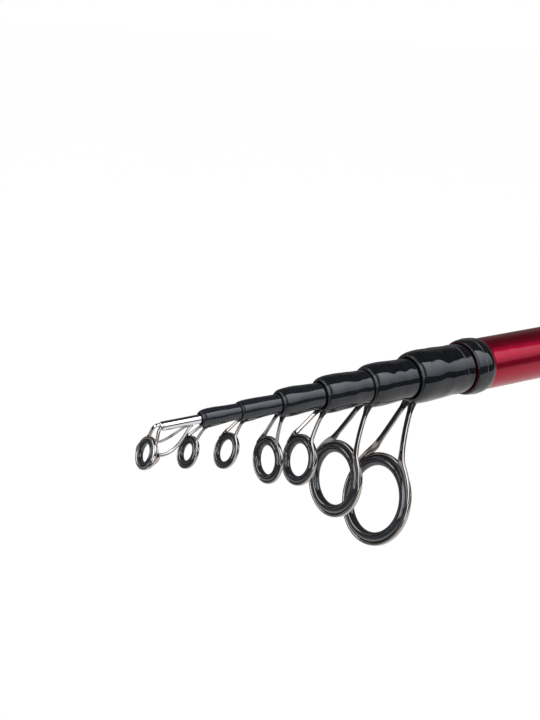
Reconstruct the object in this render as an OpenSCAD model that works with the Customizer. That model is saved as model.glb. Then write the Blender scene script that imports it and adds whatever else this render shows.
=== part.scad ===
// Telescopic fishing rod, shown closed, tip to the left.
// The rod lies along X: the butt end is at X = 0, the tip points to -X and the line guides hang to -Z.
// Every piece is drawn about a vertical axis first (station = height, up side of the rod = +x)
// and then laid along -X by on_rod().

/* [Butt section] */
// Length from the butt end to the mouth of the butt tube
butt_length = 450; // [400:5:600]
// Outer diameter of the butt tube at its mouth
butt_front_d = 18.5; // [17.5:0.1:22]
// Outer diameter of the butt tube inside the handle
butt_rear_d = 19.8; // [19.4:0.1:24]
// Wall of the butt tube
butt_wall = 0.85; // [0.6:0.05:1.1]
// Length of the whipping at the mouth of the butt tube
collar_length = 7.2; // [6:0.1:14]
// Outer diameter of that whipping
collar_d = 20; // [19.6:0.1:26]
// Length of bare tube end in front of that whipping
collar_setback = 0.7; // [0.3:0.1:2]

/* [Sections, from the butt to the tip] */
// Length of each section that stands out of the one behind it when the rod is closed
reveal = [23.8, 18.4, 18.2, 15.7, 14.1, 13.1]; // [10:0.1:40]
// Outer diameter of each blank at its mouth
front_d = [15.5, 12.2, 10, 7.4, 5.5, 4.2]; // [3:0.1:20]
// Wall of each blank
wall = [0.75, 0.7, 0.6, 0.55, 0.32, 0.4]; // [0.3:0.01:1]
// Outer diameter of each whipping
whip_d = [17.3, 13.8, 11.5, 8.6, 6.1, 5.1]; // [4:0.1:24]
// Rounding at the front of each whipping
whip_round = [0.85, 0.75, 0.7, 0.55, 0.4, 0.35]; // [0.2:0.05:1]
// Turn of each section about the rod axis, as loose sections lie
section_turn = [0, -4, 0, -5, 0, 0]; // [-10:1:10]
// Length of each section that stays inside the one behind it when the rod is drawn out
overlap = [62, 56, 52, 48, 46, 44, 42]; // [30:1:90]
// Diameter of the solid tip blank at its end
tip_blank_d = 1.9; // [1.6:0.1:2.4]

/* [Line guides, from the butt to the tip] */
// Outer diameter of each guide frame's ring
ring_od = [32.7, 26.2, 16.7, 15.2, 11.3, 10]; // [8:0.1:40]
// Hole of each ceramic ring
ring_id = [23.3, 17.6, 10.4, 9, 6.7, 5]; // [4:0.1:30]
// Radial width of each frame's ring band
band = [1.15, 1.05, 0.8, 0.75, 0.6, 0.55]; // [0.4:0.05:2]
// Thickness of each frame's ring band along its axis
band_t = [2, 2, 1.6, 1.5, 1.2, 1.1]; // [0.8:0.1:4]
// Thickness of each ceramic ring along its axis
ceramic_t = [3.5, 3.2, 2.5, 2.4, 1.9, 1.8]; // [1.2:0.1:5]
// Depth of each ring's centre below the rod axis
ring_drop = [44.6, 33.7, 21.6, 20.1, 12.4, 10.1]; // [8:0.1:60]
// Distance of each ring's centre in front of its section's mouth
ring_ahead = [7.8, 6.8, 6, 1.3, 3.8, 3.8]; // [0:0.1:14]
// Forward lean of each ring
ring_lean = [19.6, 13.7, 17.2, 10.9, 25.5, 24.6]; // [0:0.5:35]
// Width of each frame's legs
leg_w = [2.1, 1.75, 1.4, 1.2, 1, 0.9]; // [0.6:0.05:3]
// Thickness of each frame's legs
leg_t = [1.15, 1, 0.85, 0.75, 0.65, 0.6]; // [0.4:0.05:2]
// Angle from the top of the ring to each shoulder where a leg meets it
shoulder = 40; // [20:1:50]
// How far the legs run straight down, and sideways, before they bend, as shares of their reach
leg_leave = [0.43, -0.02]; // [-0.2:0.01:0.8]
// How far above, inside and ahead of the ring's shoulder the legs bend towards it, as shares of their reach
leg_land = [0.58, -0.31, 0.36]; // [-0.6:0.01:0.9]
// Length of each frame's foot under the whipping
foot_l = [15, 12, 11.5, 9.5, 7.5, 7]; // [5:0.5:20]
// Width of each foot
foot_w = [4.4, 3.7, 3, 2.6, 1.8, 1.6]; // [1.4:0.1:6]
// Thickness of each foot where it leaves the whipping
foot_t = [1, 0.9, 0.75, 0.7, 0.55, 0.5]; // [0.3:0.05:1.5]
// Gap between each frame's legs and the whipping that they leave
root_gap = 0.2; // [0.1:0.05:0.5]
// Lacquer over each foot
foot_cover = [0.6, 0.55, 0.5, 0.5, 0.45, 0.45]; // [0.2:0.05:1]

/* [Tip guide] */
// Length of the metal tube over the tip blank
tip_tube_l = 14; // [10:0.5:20]
// Outer diameter of that tube
tip_tube_d = 2.8; // [2.6:0.1:4]
// Solid nose at the front of that tube
tip_nose = 1.6; // [1:0.1:3]
// Outer diameter of the tip guide's ring
tip_ring_od = 9.9; // [8:0.1:14]
// Hole of the tip guide's ceramic ring
tip_ring_id = 4.8; // [3:0.1:8]
// Radial width of the tip ring's band
tip_band = 0.7; // [0.4:0.05:1.5]
// Thickness of the tip ring's band along its axis
tip_band_t = 1.4; // [0.8:0.1:3]
// Thickness of the tip guide's ceramic ring along its axis
tip_ceramic_t = 2.1; // [1.2:0.1:4]
// Depth of the tip ring's centre below the rod axis
tip_ring_drop = 7.5; // [6.6:0.1:12]
// Distance of the tip ring's centre in front of the tube
tip_ring_ahead = 4; // [3:0.1:8]
// Forward lean of the tip ring
tip_ring_lean = 23; // [0:1:35]
// Width of the tip guide's braces
brace_w = 1.5; // [0.8:0.1:2.4]
// Thickness of the tip guide's braces
brace_t = 0.7; // [0.5:0.05:1.2]
// Distance from the tube's nose back to where the braces are welded
brace_back = 9.4; // [7:0.1:12]
// Angle from the top of the tip ring to where its arms land
tip_crown = 33; // [20:1:50]
// Angle from the top of the tip ring to where its braces land
tip_lobe = 72; // [55:1:95]

/* [Handle] */
// Length of the rear grip
rear_grip_l = 110; // [90:5:220]
// Diameter of the rear grip
rear_grip_d = 27; // [26:0.5:34]
// Length of the reel seat
seat_l = 118; // [112:2:140]
// Wall of the reel seat's threaded barrel over the butt tube
barrel_wall = 1.6; // [1.2:0.1:3]
// Diameter of the reel seat's threaded barrel
barrel_d = butt_rear_d + 2 * barrel_wall;
// Step from the barrel up to the saddle
saddle_step = 1; // [0.6:0.1:2]
// Diameter of the reel seat's saddle
saddle_d = barrel_d + 2 * saddle_step;
// Length of the saddle's ramp, and of the shoulder behind the barrel
saddle_ramp = 3; // [2:0.5:5]
// Step from the barrel to the flat that carries the reel foot
flat_step = 0.1; // [0:0.05:0.4]
// Height of that flat below the rod axis
saddle_flat = barrel_d / 2 + flat_step;
// Length of each hood
hood_l = 24; // [18:1:30]
// Wall of the hoods' collars over the barrel
collar_wall = 2.7; // [2:0.1:4]
// Outer diameter of the hoods' collars
hood_d = barrel_d + 2 * collar_wall;
// Width of the slot for the reel foot
slot_w = 15; // [12:0.5:18]
// Height of the slot for the reel foot
slot_h = 5; // [4.4:0.1:6]
// Wall of the hood over the slot
hood_wall = 1.8; // [1.2:0.1:3]
// Length of the lock nut
nut_l = 11; // [8:0.5:16]
// Wall of the lock nut over the barrel
nut_wall = 2.2; // [1.6:0.1:4]
// Outer diameter of the lock nut
nut_d = barrel_d + 2 * nut_wall;
// Number of finger flutes round the lock nut
nut_flutes = 14; // [8:1:20]
// Radius of each of those flutes
nut_flute_r = 1.6; // [0.8:0.1:2.2]
// Travel of the sliding hood
hood_travel = 20; // [10:1:22]
// Room left in front of the sliding hood at the end of its travel
hood_room = 0.7; // [0.4:0.1:2]
// Room left behind the lock nut when it is run right back
nut_room = 3; // [1:0.5:6]
// Length of the fore grip
fore_grip_l = 58; // [40:2:120]
// Diameter of the fore grip at the reel seat
fore_grip_d = 27; // [25:0.5:32]
// Diameter of the fore grip at its front
fore_grip_front_d = 23; // [22.4:0.5:28]
// Length of the trim ring in front of the fore grip
check_l = 5; // [3:0.5:8]
// Wall of that trim ring over the butt tube at its back
check_wall = 1.1; // [0.8:0.1:3]
// Diameter of that trim ring at its back
check_d = butt_rear_d + 2 * check_wall;
// Rounding of the grips' edges
grip_round = 2.5; // [1:0.5:4]

/* [Butt cap] */
// Thickness of the cap's head
cap_head = 10; // [7:0.5:16]
// Diameter of the cap's head
cap_d = 26; // [24:0.5:32]
// Length of the cap's threaded plug
plug_l = 14; // [10:0.5:18]
// Diameter of the cap's threaded plug
plug_d = 15; // [14.6:0.1:15.6]
// Diameter of the cushion disc that the sections stand on
cushion_d = 13; // [12:0.1:13.6]
// Thickness of the cushion disc
cushion_t = 4; // [3:0.2:6]
// Depth of the cushion disc's seat in the plug
cushion_seat = 2; // [1:0.1:2.6]
// Thickness of the sealing ring under the cap's head
seal_t = 1.6; // [1:0.1:2.4]
// Number of finger flutes round the cap's head
cap_flutes = 16; // [8:1:24]
// Radius of each of those flutes
cap_flute_r = 1.5; // [0.8:0.1:2.2]

/* [Trim] */
// Width of the metallic trim threads
trim_w = 0.7; // [0.4:0.1:1.5]
// Height of the metallic trim threads
trim_t = 0.3; // [0.2:0.05:0.6]
// Distance of the first section's trim thread in front of the butt tube's mouth
trim_1_at = 4.3; // [2:0.1:8]
// Distance of the butt tube's trim thread behind its mouth
trim_0_at = 3.8; // [2:0.1:6]

/* [Fits] */
// Radial clearance left where a drawn-out section wedges in the mouth behind it
taper_fit = 0.06; // [0.04:0.01:0.15]
// Gap between the sections' tails and what they stand on
tail_gap = 0.3; // [0.2:0.05:0.6]
// Gap between a whipping and the mouth behind it when the rod is closed
stop_gap = 0.9; // [0.4:0.1:2]
// Clearance of glued and pressed seats
seat_fit = 0.03; // [0.01:0.01:0.06]
// Radial clearance of threads and sliding hoods
thread_fit = 0.09; // [0.05:0.01:0.1]
// Gap between turning or sliding faces
face_gap = 0.3; // [0.2:0.05:0.5]

/* [Hidden] */
$fn = 64;
SECTIONS = 6;

BLACK = [0.06, 0.07, 0.08];
RED = [0.62, 0.03, 0.08];
STEEL = [0.78, 0.76, 0.73];
CERAMIC = [0.2, 0.22, 0.24];
FOAM = [0.12, 0.12, 0.12];

// Stations along the rod, measured from the butt end towards the tip
function sum_to(v, n, i = 0) = i >= n ? 0 : v[i] + sum_to(v, n, i + 1);
function mouth_at(k) = butt_length + sum_to(reveal, k);
butt_back = cap_head + seal_t * 0.6;
floor_at = cap_head + plug_l - cushion_seat + cushion_t;
tail_at = floor_at + tail_gap;
grip_at = butt_back + seat_fit;
seat_at = grip_at + rear_grip_l + seat_fit;
fore_at = seat_at + seat_l + seat_fit;
check_at = fore_at + fore_grip_l + seat_fit;
bare_at = check_at + check_l;
tip_tube_at = mouth_at(SECTIONS) - 0.7;
tip_nose_at = tip_tube_at + tip_tube_l;
tip_blank_end = tip_nose_at - tip_nose;

// Radii of the blanks: each tail is as wide as the mouth that it wedges in
butt_front_r = butt_front_d / 2;
butt_rear_r = butt_rear_d / 2;
function front_r(k) = front_d[k - 1] / 2;
function mouth_r(k) = k == 0 ? butt_front_r - butt_wall : front_r(k) - wall[k - 1];
function tail_r(k) = mouth_r(k - 1) - taper_fit;
function end_at(k) = k > SECTIONS ? tip_blank_end : mouth_at(k);
function end_r(k) = k > SECTIONS ? tip_blank_d / 2 : front_r(k);
function blank_r(k, s) = tail_r(k) + (end_r(k) - tail_r(k)) * (s - tail_at) / (end_at(k) - tail_at);
function whip_l(k) = reveal[k - 1] - stop_gap;

// Small vector and curve helpers
function unit(v) = v / norm(v);
function lerp(a, b, t) = a + (b - a) * t;
function bezier(p, t) =
    pow(1 - t, 3) * p[0] + 3 * pow(1 - t, 2) * t * p[1] + 3 * (1 - t) * t * t * p[2] + pow(t, 3) * p[3];
function bezier_dir(p, t) =
    unit(pow(1 - t, 2) * (p[1] - p[0]) + 2 * (1 - t) * t * (p[2] - p[1]) + t * t * (p[3] - p[2]));

// Eight corners of a strip's section with its edges broken
function strip_section(w, t) =
    let (c = 0.3 * min(w, t))
    [[w / 2, t / 2 - c], [w / 2 - c, t / 2], [c - w / 2, t / 2], [-w / 2, t / 2 - c],
     [-w / 2, c - t / 2], [c - w / 2, -t / 2], [w / 2 - c, -t / 2], [w / 2, c - t / 2]];

// Strip of metal swept along a cubic curve, its flat side square to `flat`, its width given at both ends
module strip(curve, flat, w0, w1, t, steps = 12) {
    rings = [for (i = [0:steps])
        let (
            u = i / steps,
            at = bezier(curve, u),
            along = bezier_dir(curve, u),
            across = unit(cross(flat, along)),
            out = cross(along, across),
            corners = strip_section(lerp(w0, w1, u * u), t)
        )
        for (c = corners) at + c[0] * across + c[1] * out];
    sides = [for (i = [0:steps - 1], j = [0:7])
        let (a = 8 * i + j, b = 8 * i + (j + 1) % 8)
        each [[a, b + 8, b], [a, a + 8, b + 8]]];
    first = [for (j = [1:6]) [0, j, j + 1]];
    last = [for (j = [1:6]) [8 * steps, 8 * steps + j + 1, 8 * steps + j]];
    polyhedron(points = rings, faces = concat(sides, first, last));
}

// Lays a piece drawn about the vertical axis along the rod
module on_rod() {
    rotate([0, -90, 0]) children();
}

// Solid of revolution between two stations with a radius at each
module cone(s0, r0, s1, r1) {
    translate([0, 0, s0]) cylinder(h = s1 - s0, r1 = r0, r2 = r1);
}

// Ring of revolution with rounded edges at its outer back and front corners
module rounded_ring(s0, s1, r_in, r_out, round_back, round_front) {
    rotate_extrude() {
        translate([r_in, s0]) square([r_out - r_in - max(round_back, round_front), s1 - s0]);
        translate([r_in, s0 + round_back]) square([r_out - r_in, s1 - s0 - round_back - round_front]);
        translate([r_out - round_back, s0 + round_back]) circle(r = round_back);
        translate([r_out - round_front, s1 - round_front]) circle(r = round_front);
    }
}

// Frame of a guide ring: origin at the ring's centre, its axis along the local vertical
module at_ring(ahead_at, drop, lean) {
    translate([-drop, 0, ahead_at]) rotate([0, lean, 0]) children();
}

// Metal band round a ceramic ring, with a broken outer edge
module ring_band(od, width, t) {
    edge = min(width, t) * 0.3;
    r_in = od / 2 - width;
    rotate_extrude() polygon([
        [r_in, -t / 2], [od / 2 - edge, -t / 2], [od / 2, edge - t / 2],
        [od / 2, t / 2 - edge], [od / 2 - edge, t / 2], [r_in, t / 2]]);
}

// Ceramic ring with a round inner lip and a straight outer seat
module ceramic(od, hole_d, t) {
    lip = t / 2;
    rotate_extrude() {
        intersection() {
            translate([hole_d / 2 + lip, 0]) circle(r = lip);
            translate([hole_d / 2, -lip]) square([lip * 1.1, t]);
        }
        translate([hole_d / 2 + lip, -lip]) square([od / 2 - hole_d / 2 - lip, t]);
    }
}

// The butt tube: straight inside the handle, tapered in front of it
module butt_tube() {
    color(RED) on_rod() difference() {
        union() {
            cone(butt_back, butt_rear_r, bare_at, butt_rear_r);
            cone(bare_at, butt_rear_r, butt_length, butt_front_r);
        }
        cone(butt_back - 1, butt_rear_r - butt_wall, bare_at, butt_rear_r - butt_wall);
        cone(bare_at, butt_rear_r - butt_wall, butt_length, mouth_r(0));
        cone(butt_length, mouth_r(0), butt_length + 1, mouth_r(0));
    }
}

function butt_r(s) = s < bare_at ? butt_rear_r : lerp(butt_rear_r, butt_front_r, (s - bare_at) / (butt_length - bare_at));

// Lacquered whipping that keeps the mouth of the butt tube from splitting
module butt_whipping() {
    front = butt_length - collar_setback;
    back = front - collar_length;
    thread_at = butt_length - trim_0_at;
    round_front = (collar_d / 2 - butt_r(front)) * 0.9;
    color(BLACK) on_rod() difference() {
        union() {
            rounded_ring(back + 1.4, front, mouth_r(0), collar_d / 2, 0.2, round_front);
            cone(back, butt_r(back) + 0.25, back + 1.7, collar_d / 2 - 0.02);
        }
        cone(back - 1, butt_r(back - 1) + seat_fit, front + 1, butt_r(front + 1) + seat_fit);
        trim_ring(thread_at, collar_d / 2, seat_fit);
    }
}

// Metallic thread laid half its height into a whipping
module trim_ring(s, r, fit = 0) {
    rotate_extrude() translate([r - trim_t / 2 - fit, s - trim_w / 2 - fit]) square([trim_t + fit, trim_w + 2 * fit]);
}

module butt_trim() {
    color(STEEL) on_rod() trim_ring(butt_length - trim_0_at, collar_d / 2);
}

module trim_1() {
    color(STEEL) on_rod() trim_ring(butt_length + trim_1_at, whip_d[0] / 2);
}

// One blank: a tapered tube, or the solid tip blank
module section(k) {
    color(BLACK) on_rod() difference() {
        cone(tail_at, tail_r(k), end_at(k), end_r(k));
        if (k <= SECTIONS) {
            t = wall[k - 1];
            cone(tail_at, tail_r(k) - t, end_at(k), end_r(k) - t);
            cone(tail_at - 1, tail_r(k) - t, tail_at, tail_r(k) - t);
            cone(end_at(k), mouth_r(k), end_at(k) + 1, mouth_r(k));
        }
    }
}

// The flat foot of a guide frame, thinned towards its back, that lies along the underside of a blank
function foot_top(k) = blank_r(k, mouth_at(k) - foot_l[k - 1]) + 2 * seat_fit;
function leg_root(k) = mouth_at(k) + leg_t[k - 1] / 2 + root_gap;
function foot_nose(k) = leg_root(k) + leg_t[k - 1] / 2;

// With a fit it is the pocket for that foot, open to the blank
module foot(k, fit = 0) {
    i = k - 1;
    top = fit > 0 ? front_r(k) - wall[i] / 2 : foot_top(k);
    back = mouth_at(k) - foot_l[i] - fit;
    tail = foot_t[i] * 0.3;
    translate([0, foot_w[i] / 2 + fit, 0]) rotate([90, 0, 0]) linear_extrude(foot_w[i] + 2 * fit) polygon([
        [-top, back], [-top, foot_nose(k) + fit], [-foot_top(k) - foot_t[i] - fit, foot_nose(k) + fit],
        [-foot_top(k) - foot_t[i] - fit, mouth_at(k) - foot_l[i] * 0.2], [-foot_top(k) - tail - fit, back]]);
}

// Flared plug with a rounded front, its side rising by an angle and running on into the rounding
module swell(front, l, r, edge, rise) {
    turn = [r - edge + edge * cos(rise), front - edge - edge * sin(rise)];
    rotate_extrude() {
        polygon([[0, front - l], [turn[0] - (turn[1] - front + l) * tan(rise), front - l], turn,
                 [r - edge, front], [0, front]]);
        translate([r - edge, front - edge]) intersection() {
            circle(r = edge);
            translate([0, -edge * sin(rise)]) square(2 * edge);
        }
    }
}

// Lacquered whipping over a section's mouth, swollen over the guide's foot
module whipping(k) {
    i = k - 1;
    front = mouth_at(k);
    back = front - whip_l(k);
    whip_r = whip_d[i] / 2;
    swell_r = 0.92 * whip_r;
    swell_at = foot_top(k) + foot_t[i] + foot_cover[i] - swell_r;
    swell_l = min(foot_l[i] + 4, whip_l(k) - 0.6);
    rise = atan((swell_r + swell_at - whip_r + 0.05) / (swell_l - whip_round[i]));
    color(BLACK) on_rod() rotate([0, 0, section_turn[i]]) difference() {
        union() {
            rounded_ring(back, front, mouth_r(k), whip_r, whip_round[i] * 0.6, whip_round[i]);
            translate([-swell_at, 0, 0]) swell(front, swell_l, swell_r, whip_round[i], rise);
        }
        cone(back - 1, blank_r(k, back - 1) + seat_fit, front + 1, blank_r(k, front + 1) + seat_fit);
        foot(k, seat_fit);
        if (k == 1) trim_ring(butt_length + trim_1_at, whip_d[0] / 2, seat_fit);
    }
}

// Stamped guide frame: foot, two bent legs that spread to the ring's shoulders, and the ring's band
module guide_frame(k) {
    i = k - 1;
    centre_at = mouth_at(k) + ring_ahead[i];
    lean = ring_lean[i];
    band_r = (ring_od[i] - band[i]) / 2;
    flat = [sin(lean), 0, cos(lean)];
    up = [cos(lean), 0, -sin(lean)];
    centre = [-ring_drop[i], 0, centre_at];
    root = [-foot_top(k) - foot_t[i] / 2, 0, leg_root(k)];
    reach = norm(centre - root) - band_r;
    color(STEEL) on_rod() rotate([0, 0, section_turn[i]]) union() {
        foot(k);
        difference() {
            union() {
                at_ring(centre_at, ring_drop[i], lean) ring_band(ring_od[i], band[i], band_t[i]);
                for (side = [-1, 1]) {
                    out = [0, side, 0];
                    start = root + 0.45 * foot_w[i] * out;
                    land = centre + band_r * (cos(shoulder) * up + sin(shoulder) * out);
                    strip([start, start + reach * leg_leave[0] * [-1, 0, 0] + reach * leg_leave[1] * out,
                           land + reach * (leg_land[0] * up + leg_land[1] * out + leg_land[2] * flat), land],
                          flat, leg_w[i], leg_w[i] * 1.5, leg_t[i]);
                }
            }
            at_ring(centre_at, ring_drop[i], lean)
                cylinder(h = 4 * band_t[i], r = ring_od[i] / 2 - band[i], center = true);
        }
    }
}

module guide_ring(k) {
    i = k - 1;
    color(CERAMIC) on_rod() rotate([0, 0, section_turn[i]])
        at_ring(mouth_at(k) + ring_ahead[i], ring_drop[i], ring_lean[i])
            ceramic(ring_od[i] - 2 * band[i] - 2 * seat_fit, ring_id[i], ceramic_t[i]);
}

// Metal tube with a rounded nose, cemented over the tip blank
module tip_tube() {
    r = tip_tube_d / 2;
    color(STEEL) on_rod() difference() {
        union() {
            cone(tip_tube_at, r, tip_nose_at - r, r);
            translate([0, 0, tip_nose_at - r]) intersection() {
                sphere(r = r);
                cylinder(h = r, r = r);
            }
        }
        cone(tip_tube_at - 1, blank_r(7, tip_tube_at - 1) + seat_fit, tip_blank_end, tip_blank_d / 2 + seat_fit);
        cone(tip_blank_end, tip_blank_d / 2 + seat_fit, tip_blank_end + seat_fit, tip_blank_d / 2 + seat_fit);
    }
}

// Frame of the tip guide: ring, two arms from the tube's nose and two braces from under the tube
module tip_frame() {
    centre_at = tip_nose_at + tip_ring_ahead;
    lean = tip_ring_lean;
    band_r = (tip_ring_od - tip_band) / 2;
    flat = [sin(lean), 0, cos(lean)];
    up = [cos(lean), 0, -sin(lean)];
    centre = [-tip_ring_drop, 0, centre_at];
    tube_r = tip_tube_d / 2;
    weld_at = tip_nose_at - brace_back;
    color(STEEL) on_rod() difference() {
        union() {
            at_ring(centre_at, tip_ring_drop, lean) ring_band(tip_ring_od, tip_band, tip_band_t);
            for (side = [-1, 1]) {
                out = [0, side, 0];
                nose = [-0.1, side * 0.3, tip_nose_at - 0.9];
                crown = centre + band_r * (cos(tip_crown) * up + sin(tip_crown) * out);
                strip([nose, nose + [1.4, 1.5 * side, 2.6], crown + [0.3, -0.2 * side, -1.1], crown],
                      flat, brace_t * 1.3, brace_t * 1.8, brace_t);
                lobe = centre + band_r * (cos(tip_lobe) * up + sin(tip_lobe) * out);
                weld = [-tube_r - brace_t * 0.2, side * tube_r * 0.45, weld_at];
                strip([weld, weld + [-2.4, 2 * side, 3.3], lobe + [-2.7, -0.9 * side, -6.3], lobe],
                      [0.35, side, 0.1], brace_w * 0.75, brace_w, brace_t);
            }
            translate([-tube_r - brace_t * 0.6, -tube_r * 0.8, weld_at - 1.4]) cube([brace_t * 1.2, tube_r * 1.6, 2.6]);
        }
        at_ring(centre_at, tip_ring_drop, lean)
            cylinder(h = 3 * tip_band_t, r = tip_ring_od / 2 - tip_band, center = true);
        cone(tip_tube_at - 1, tube_r + seat_fit, tip_nose_at - tube_r, tube_r + seat_fit);
        translate([0, 0, tip_nose_at - tube_r]) sphere(r = tube_r + seat_fit);
    }
}

module tip_ring() {
    color(CERAMIC) on_rod() at_ring(tip_nose_at + tip_ring_ahead, tip_ring_drop, tip_ring_lean)
        ceramic(tip_ring_od - 2 * tip_band - 2 * seat_fit, tip_ring_id, tip_ceramic_t);
}

// Foam grip behind the reel seat
module rear_grip() {
    color(FOAM) on_rod() difference() {
        rounded_ring(grip_at, grip_at + rear_grip_l, butt_rear_r, rear_grip_d / 2, grip_round, grip_round);
        cone(grip_at - 1, butt_rear_r + seat_fit, seat_at, butt_rear_r + seat_fit);
    }
}

// Foam grip in front of the reel seat, tapered towards the tip
module fore_grip() {
    front = fore_at + fore_grip_l;
    color(FOAM) on_rod() difference() {
        rotate_extrude() {
            polygon([
                [butt_rear_r, fore_at], [fore_grip_d / 2, fore_at], [fore_grip_d / 2, fore_at + fore_grip_l * 0.3],
                [fore_grip_front_d / 2, front - grip_round / 2], [fore_grip_front_d / 2 - grip_round / 2, front],
                [butt_rear_r, front]]);
        }
        cone(fore_at - 1, butt_rear_r + seat_fit, front + 1, butt_rear_r + seat_fit);
    }
}

// Turned metal ring that closes the front of the fore grip
module winding_check() {
    color(STEEL) on_rod() difference() {
        rotate_extrude() polygon([
            [butt_rear_r - 0.5, check_at], [check_d / 2, check_at], [check_d / 2, check_at + check_l * 0.4],
            [butt_rear_r + 0.5, check_at + check_l], [butt_rear_r - 0.5, check_at + check_l]]);
        cone(check_at - 1, butt_rear_r + seat_fit, bare_at + 1, butt_rear_r + seat_fit);
    }
}

// Stations of the reel seat's parts
barrel_at = seat_at;
barrel_l = saddle_ramp + nut_room + nut_l + face_gap + hood_l + hood_travel + hood_room;
saddle_at = seat_at + barrel_l;
nut_at = barrel_at + saddle_ramp + nut_room;
hood_at = nut_at + nut_l + face_gap;
fixed_at = seat_at + seat_l - hood_l;

// Reel seat: threaded barrel behind, saddle with a flat for the reel's foot in front
module seat_body() {
    color(BLACK) on_rod() difference() {
        union() {
            cone(barrel_at, saddle_d / 2, barrel_at + saddle_ramp, saddle_d / 2);
            cone(barrel_at + saddle_ramp, barrel_d / 2, saddle_at, barrel_d / 2);
            cone(saddle_at, barrel_d / 2, saddle_at + saddle_ramp, saddle_d / 2);
            cone(saddle_at + saddle_ramp, saddle_d / 2, fixed_at - seat_fit, saddle_d / 2);
            cone(fixed_at - 1, barrel_d / 2, seat_at + seat_l, barrel_d / 2);
        }
        cone(seat_at - 1, butt_rear_r + seat_fit, seat_at + seat_l + 1, butt_rear_r + seat_fit);
        translate([-saddle_flat - saddle_d, -saddle_d, saddle_at - saddle_ramp])
            cube([saddle_d, 2 * saddle_d, seat_l]);
    }
}

// Hood with a collar round the barrel and a slot under it that takes one end of the reel's foot.
// The slot opens upwards in its own frame; the collar is at its closed end.
module hood(r_bore) {
    scoop_r = slot_w / 2 + hood_wall;
    scoop_at = saddle_flat + slot_h + hood_wall - scoop_r;
    difference() {
        union() {
            rounded_ring(0, hood_l * 0.45, r_bore, hood_d / 2, 0.8, 0.8);
            translate([-scoop_at, 0, 0]) cylinder(h = hood_l - 2, r = scoop_r);
            translate([-scoop_at, 0, hood_l - 2]) cylinder(h = 2, r1 = scoop_r, r2 = scoop_r - 0.8);
        }
        translate([0, 0, -1]) cylinder(h = hood_l + 2, r = r_bore);
        translate([-saddle_flat - slot_h, -slot_w / 2, 3]) cube([slot_h + 0.5, slot_w, hood_l]);
    }
}

module sliding_hood() {
    color(BLACK) on_rod() translate([0, 0, hood_at]) hood(barrel_d / 2 + thread_fit);
}

module fixed_hood() {
    color(BLACK) on_rod() translate([0, 0, seat_at + seat_l]) mirror([0, 0, 1]) hood(barrel_d / 2 + seat_fit);
}

// Lock nut that drives the sliding hood along the barrel
module lock_nut() {
    color(STEEL) on_rod() translate([0, 0, nut_at]) difference() {
        rounded_ring(0, nut_l, barrel_d / 2, nut_d / 2, 0.8, 0.8);
        translate([0, 0, -1]) cylinder(h = nut_l + 2, r = barrel_d / 2 + thread_fit);
        for (i = [0:nut_flutes - 1]) rotate([0, 0, 360 * i / nut_flutes])
            translate([nut_d / 2 + nut_flute_r * 0.6, 0, -1]) cylinder(h = nut_l + 2, r = nut_flute_r);
    }
}

// Threaded socket cemented into the back of the butt tube
module butt_socket() {
    color(STEEL) on_rod() difference() {
        cone(butt_back, butt_rear_r - butt_wall - seat_fit, floor_at, butt_rear_r - butt_wall - seat_fit);
        cone(butt_back - 1, plug_d / 2 + thread_fit, floor_at + 1, plug_d / 2 + thread_fit);
    }
}

// Screw cap with a fluted head, a groove for the seal and a seat for the cushion
module butt_cap() {
    seal_r = (butt_rear_r + plug_d / 2) / 2;
    end_round = 2.5;
    color(BLACK) on_rod() difference() {
        union() {
            rotate_extrude() {
                square([cap_d / 2 - end_round, cap_head]);
                translate([0, end_round]) square([cap_d / 2, cap_head - end_round]);
                translate([cap_d / 2 - end_round, end_round]) circle(r = end_round);
            }
            cone(cap_head, plug_d / 2, cap_head + plug_l, plug_d / 2);
        }
        cone(cap_head + plug_l - cushion_seat - face_gap, cushion_d / 2 + thread_fit,
             cap_head + plug_l + 1, cushion_d / 2 + thread_fit);
        rotate_extrude() translate([seal_r, cap_head]) circle(r = seal_t / 2 + seat_fit);
        for (i = [0:cap_flutes - 1]) rotate([0, 0, 360 * i / cap_flutes])
            translate([cap_d / 2 + cap_flute_r * 0.55, 0, -1]) cylinder(h = cap_head + 2, r = cap_flute_r);
    }
}

// Round sealing ring, half sunk in the cap's groove
module cap_seal() {
    seal_r = (butt_rear_r + plug_d / 2) / 2;
    color(FOAM) on_rod() rotate_extrude() translate([seal_r, cap_head]) circle(r = seal_t / 2);
}

// Soft disc that the sections' tails stand on
module cushion() {
    color(FOAM) on_rod() cone(floor_at - cushion_t, cushion_d / 2, floor_at, cushion_d / 2);
}

butt_tube();
butt_whipping();
butt_trim();
winding_check();
fore_grip();
seat_body();
fixed_hood();
sliding_hood();
lock_nut();
rear_grip();
butt_socket();
butt_cap();
cap_seal();
cushion();
section(1);  // section_1
section(2);  // section_2
section(3);  // section_3
section(4);  // section_4
section(5);  // section_5
section(6);  // section_6
section(7);  // section_7
whipping(1);  // whipping_1
whipping(2);  // whipping_2
whipping(3);  // whipping_3
whipping(4);  // whipping_4
whipping(5);  // whipping_5
whipping(6);  // whipping_6
trim_1();
guide_frame(1);  // guide_frame_1
guide_frame(2);  // guide_frame_2
guide_frame(3);  // guide_frame_3
guide_frame(4);  // guide_frame_4
guide_frame(5);  // guide_frame_5
guide_frame(6);  // guide_frame_6
guide_ring(1);  // guide_ring_1
guide_ring(2);  // guide_ring_2
guide_ring(3);  // guide_ring_3
guide_ring(4);  // guide_ring_4
guide_ring(5);  // guide_ring_5
guide_ring(6);  // guide_ring_6
tip_tube();
tip_frame();
tip_ring();
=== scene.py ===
"""Looks of a closed telescopic fishing rod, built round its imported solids.

The rod lies along X with its butt end at X = 0 and its tip towards -X; the line guides hang to -Z.
Every surface is worked out in millimetres in a section's own frame, (up, side, station), where the
station is the distance from the butt end, and is then laid into the row frame in metres by lay().
"""

from __future__ import annotations

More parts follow.
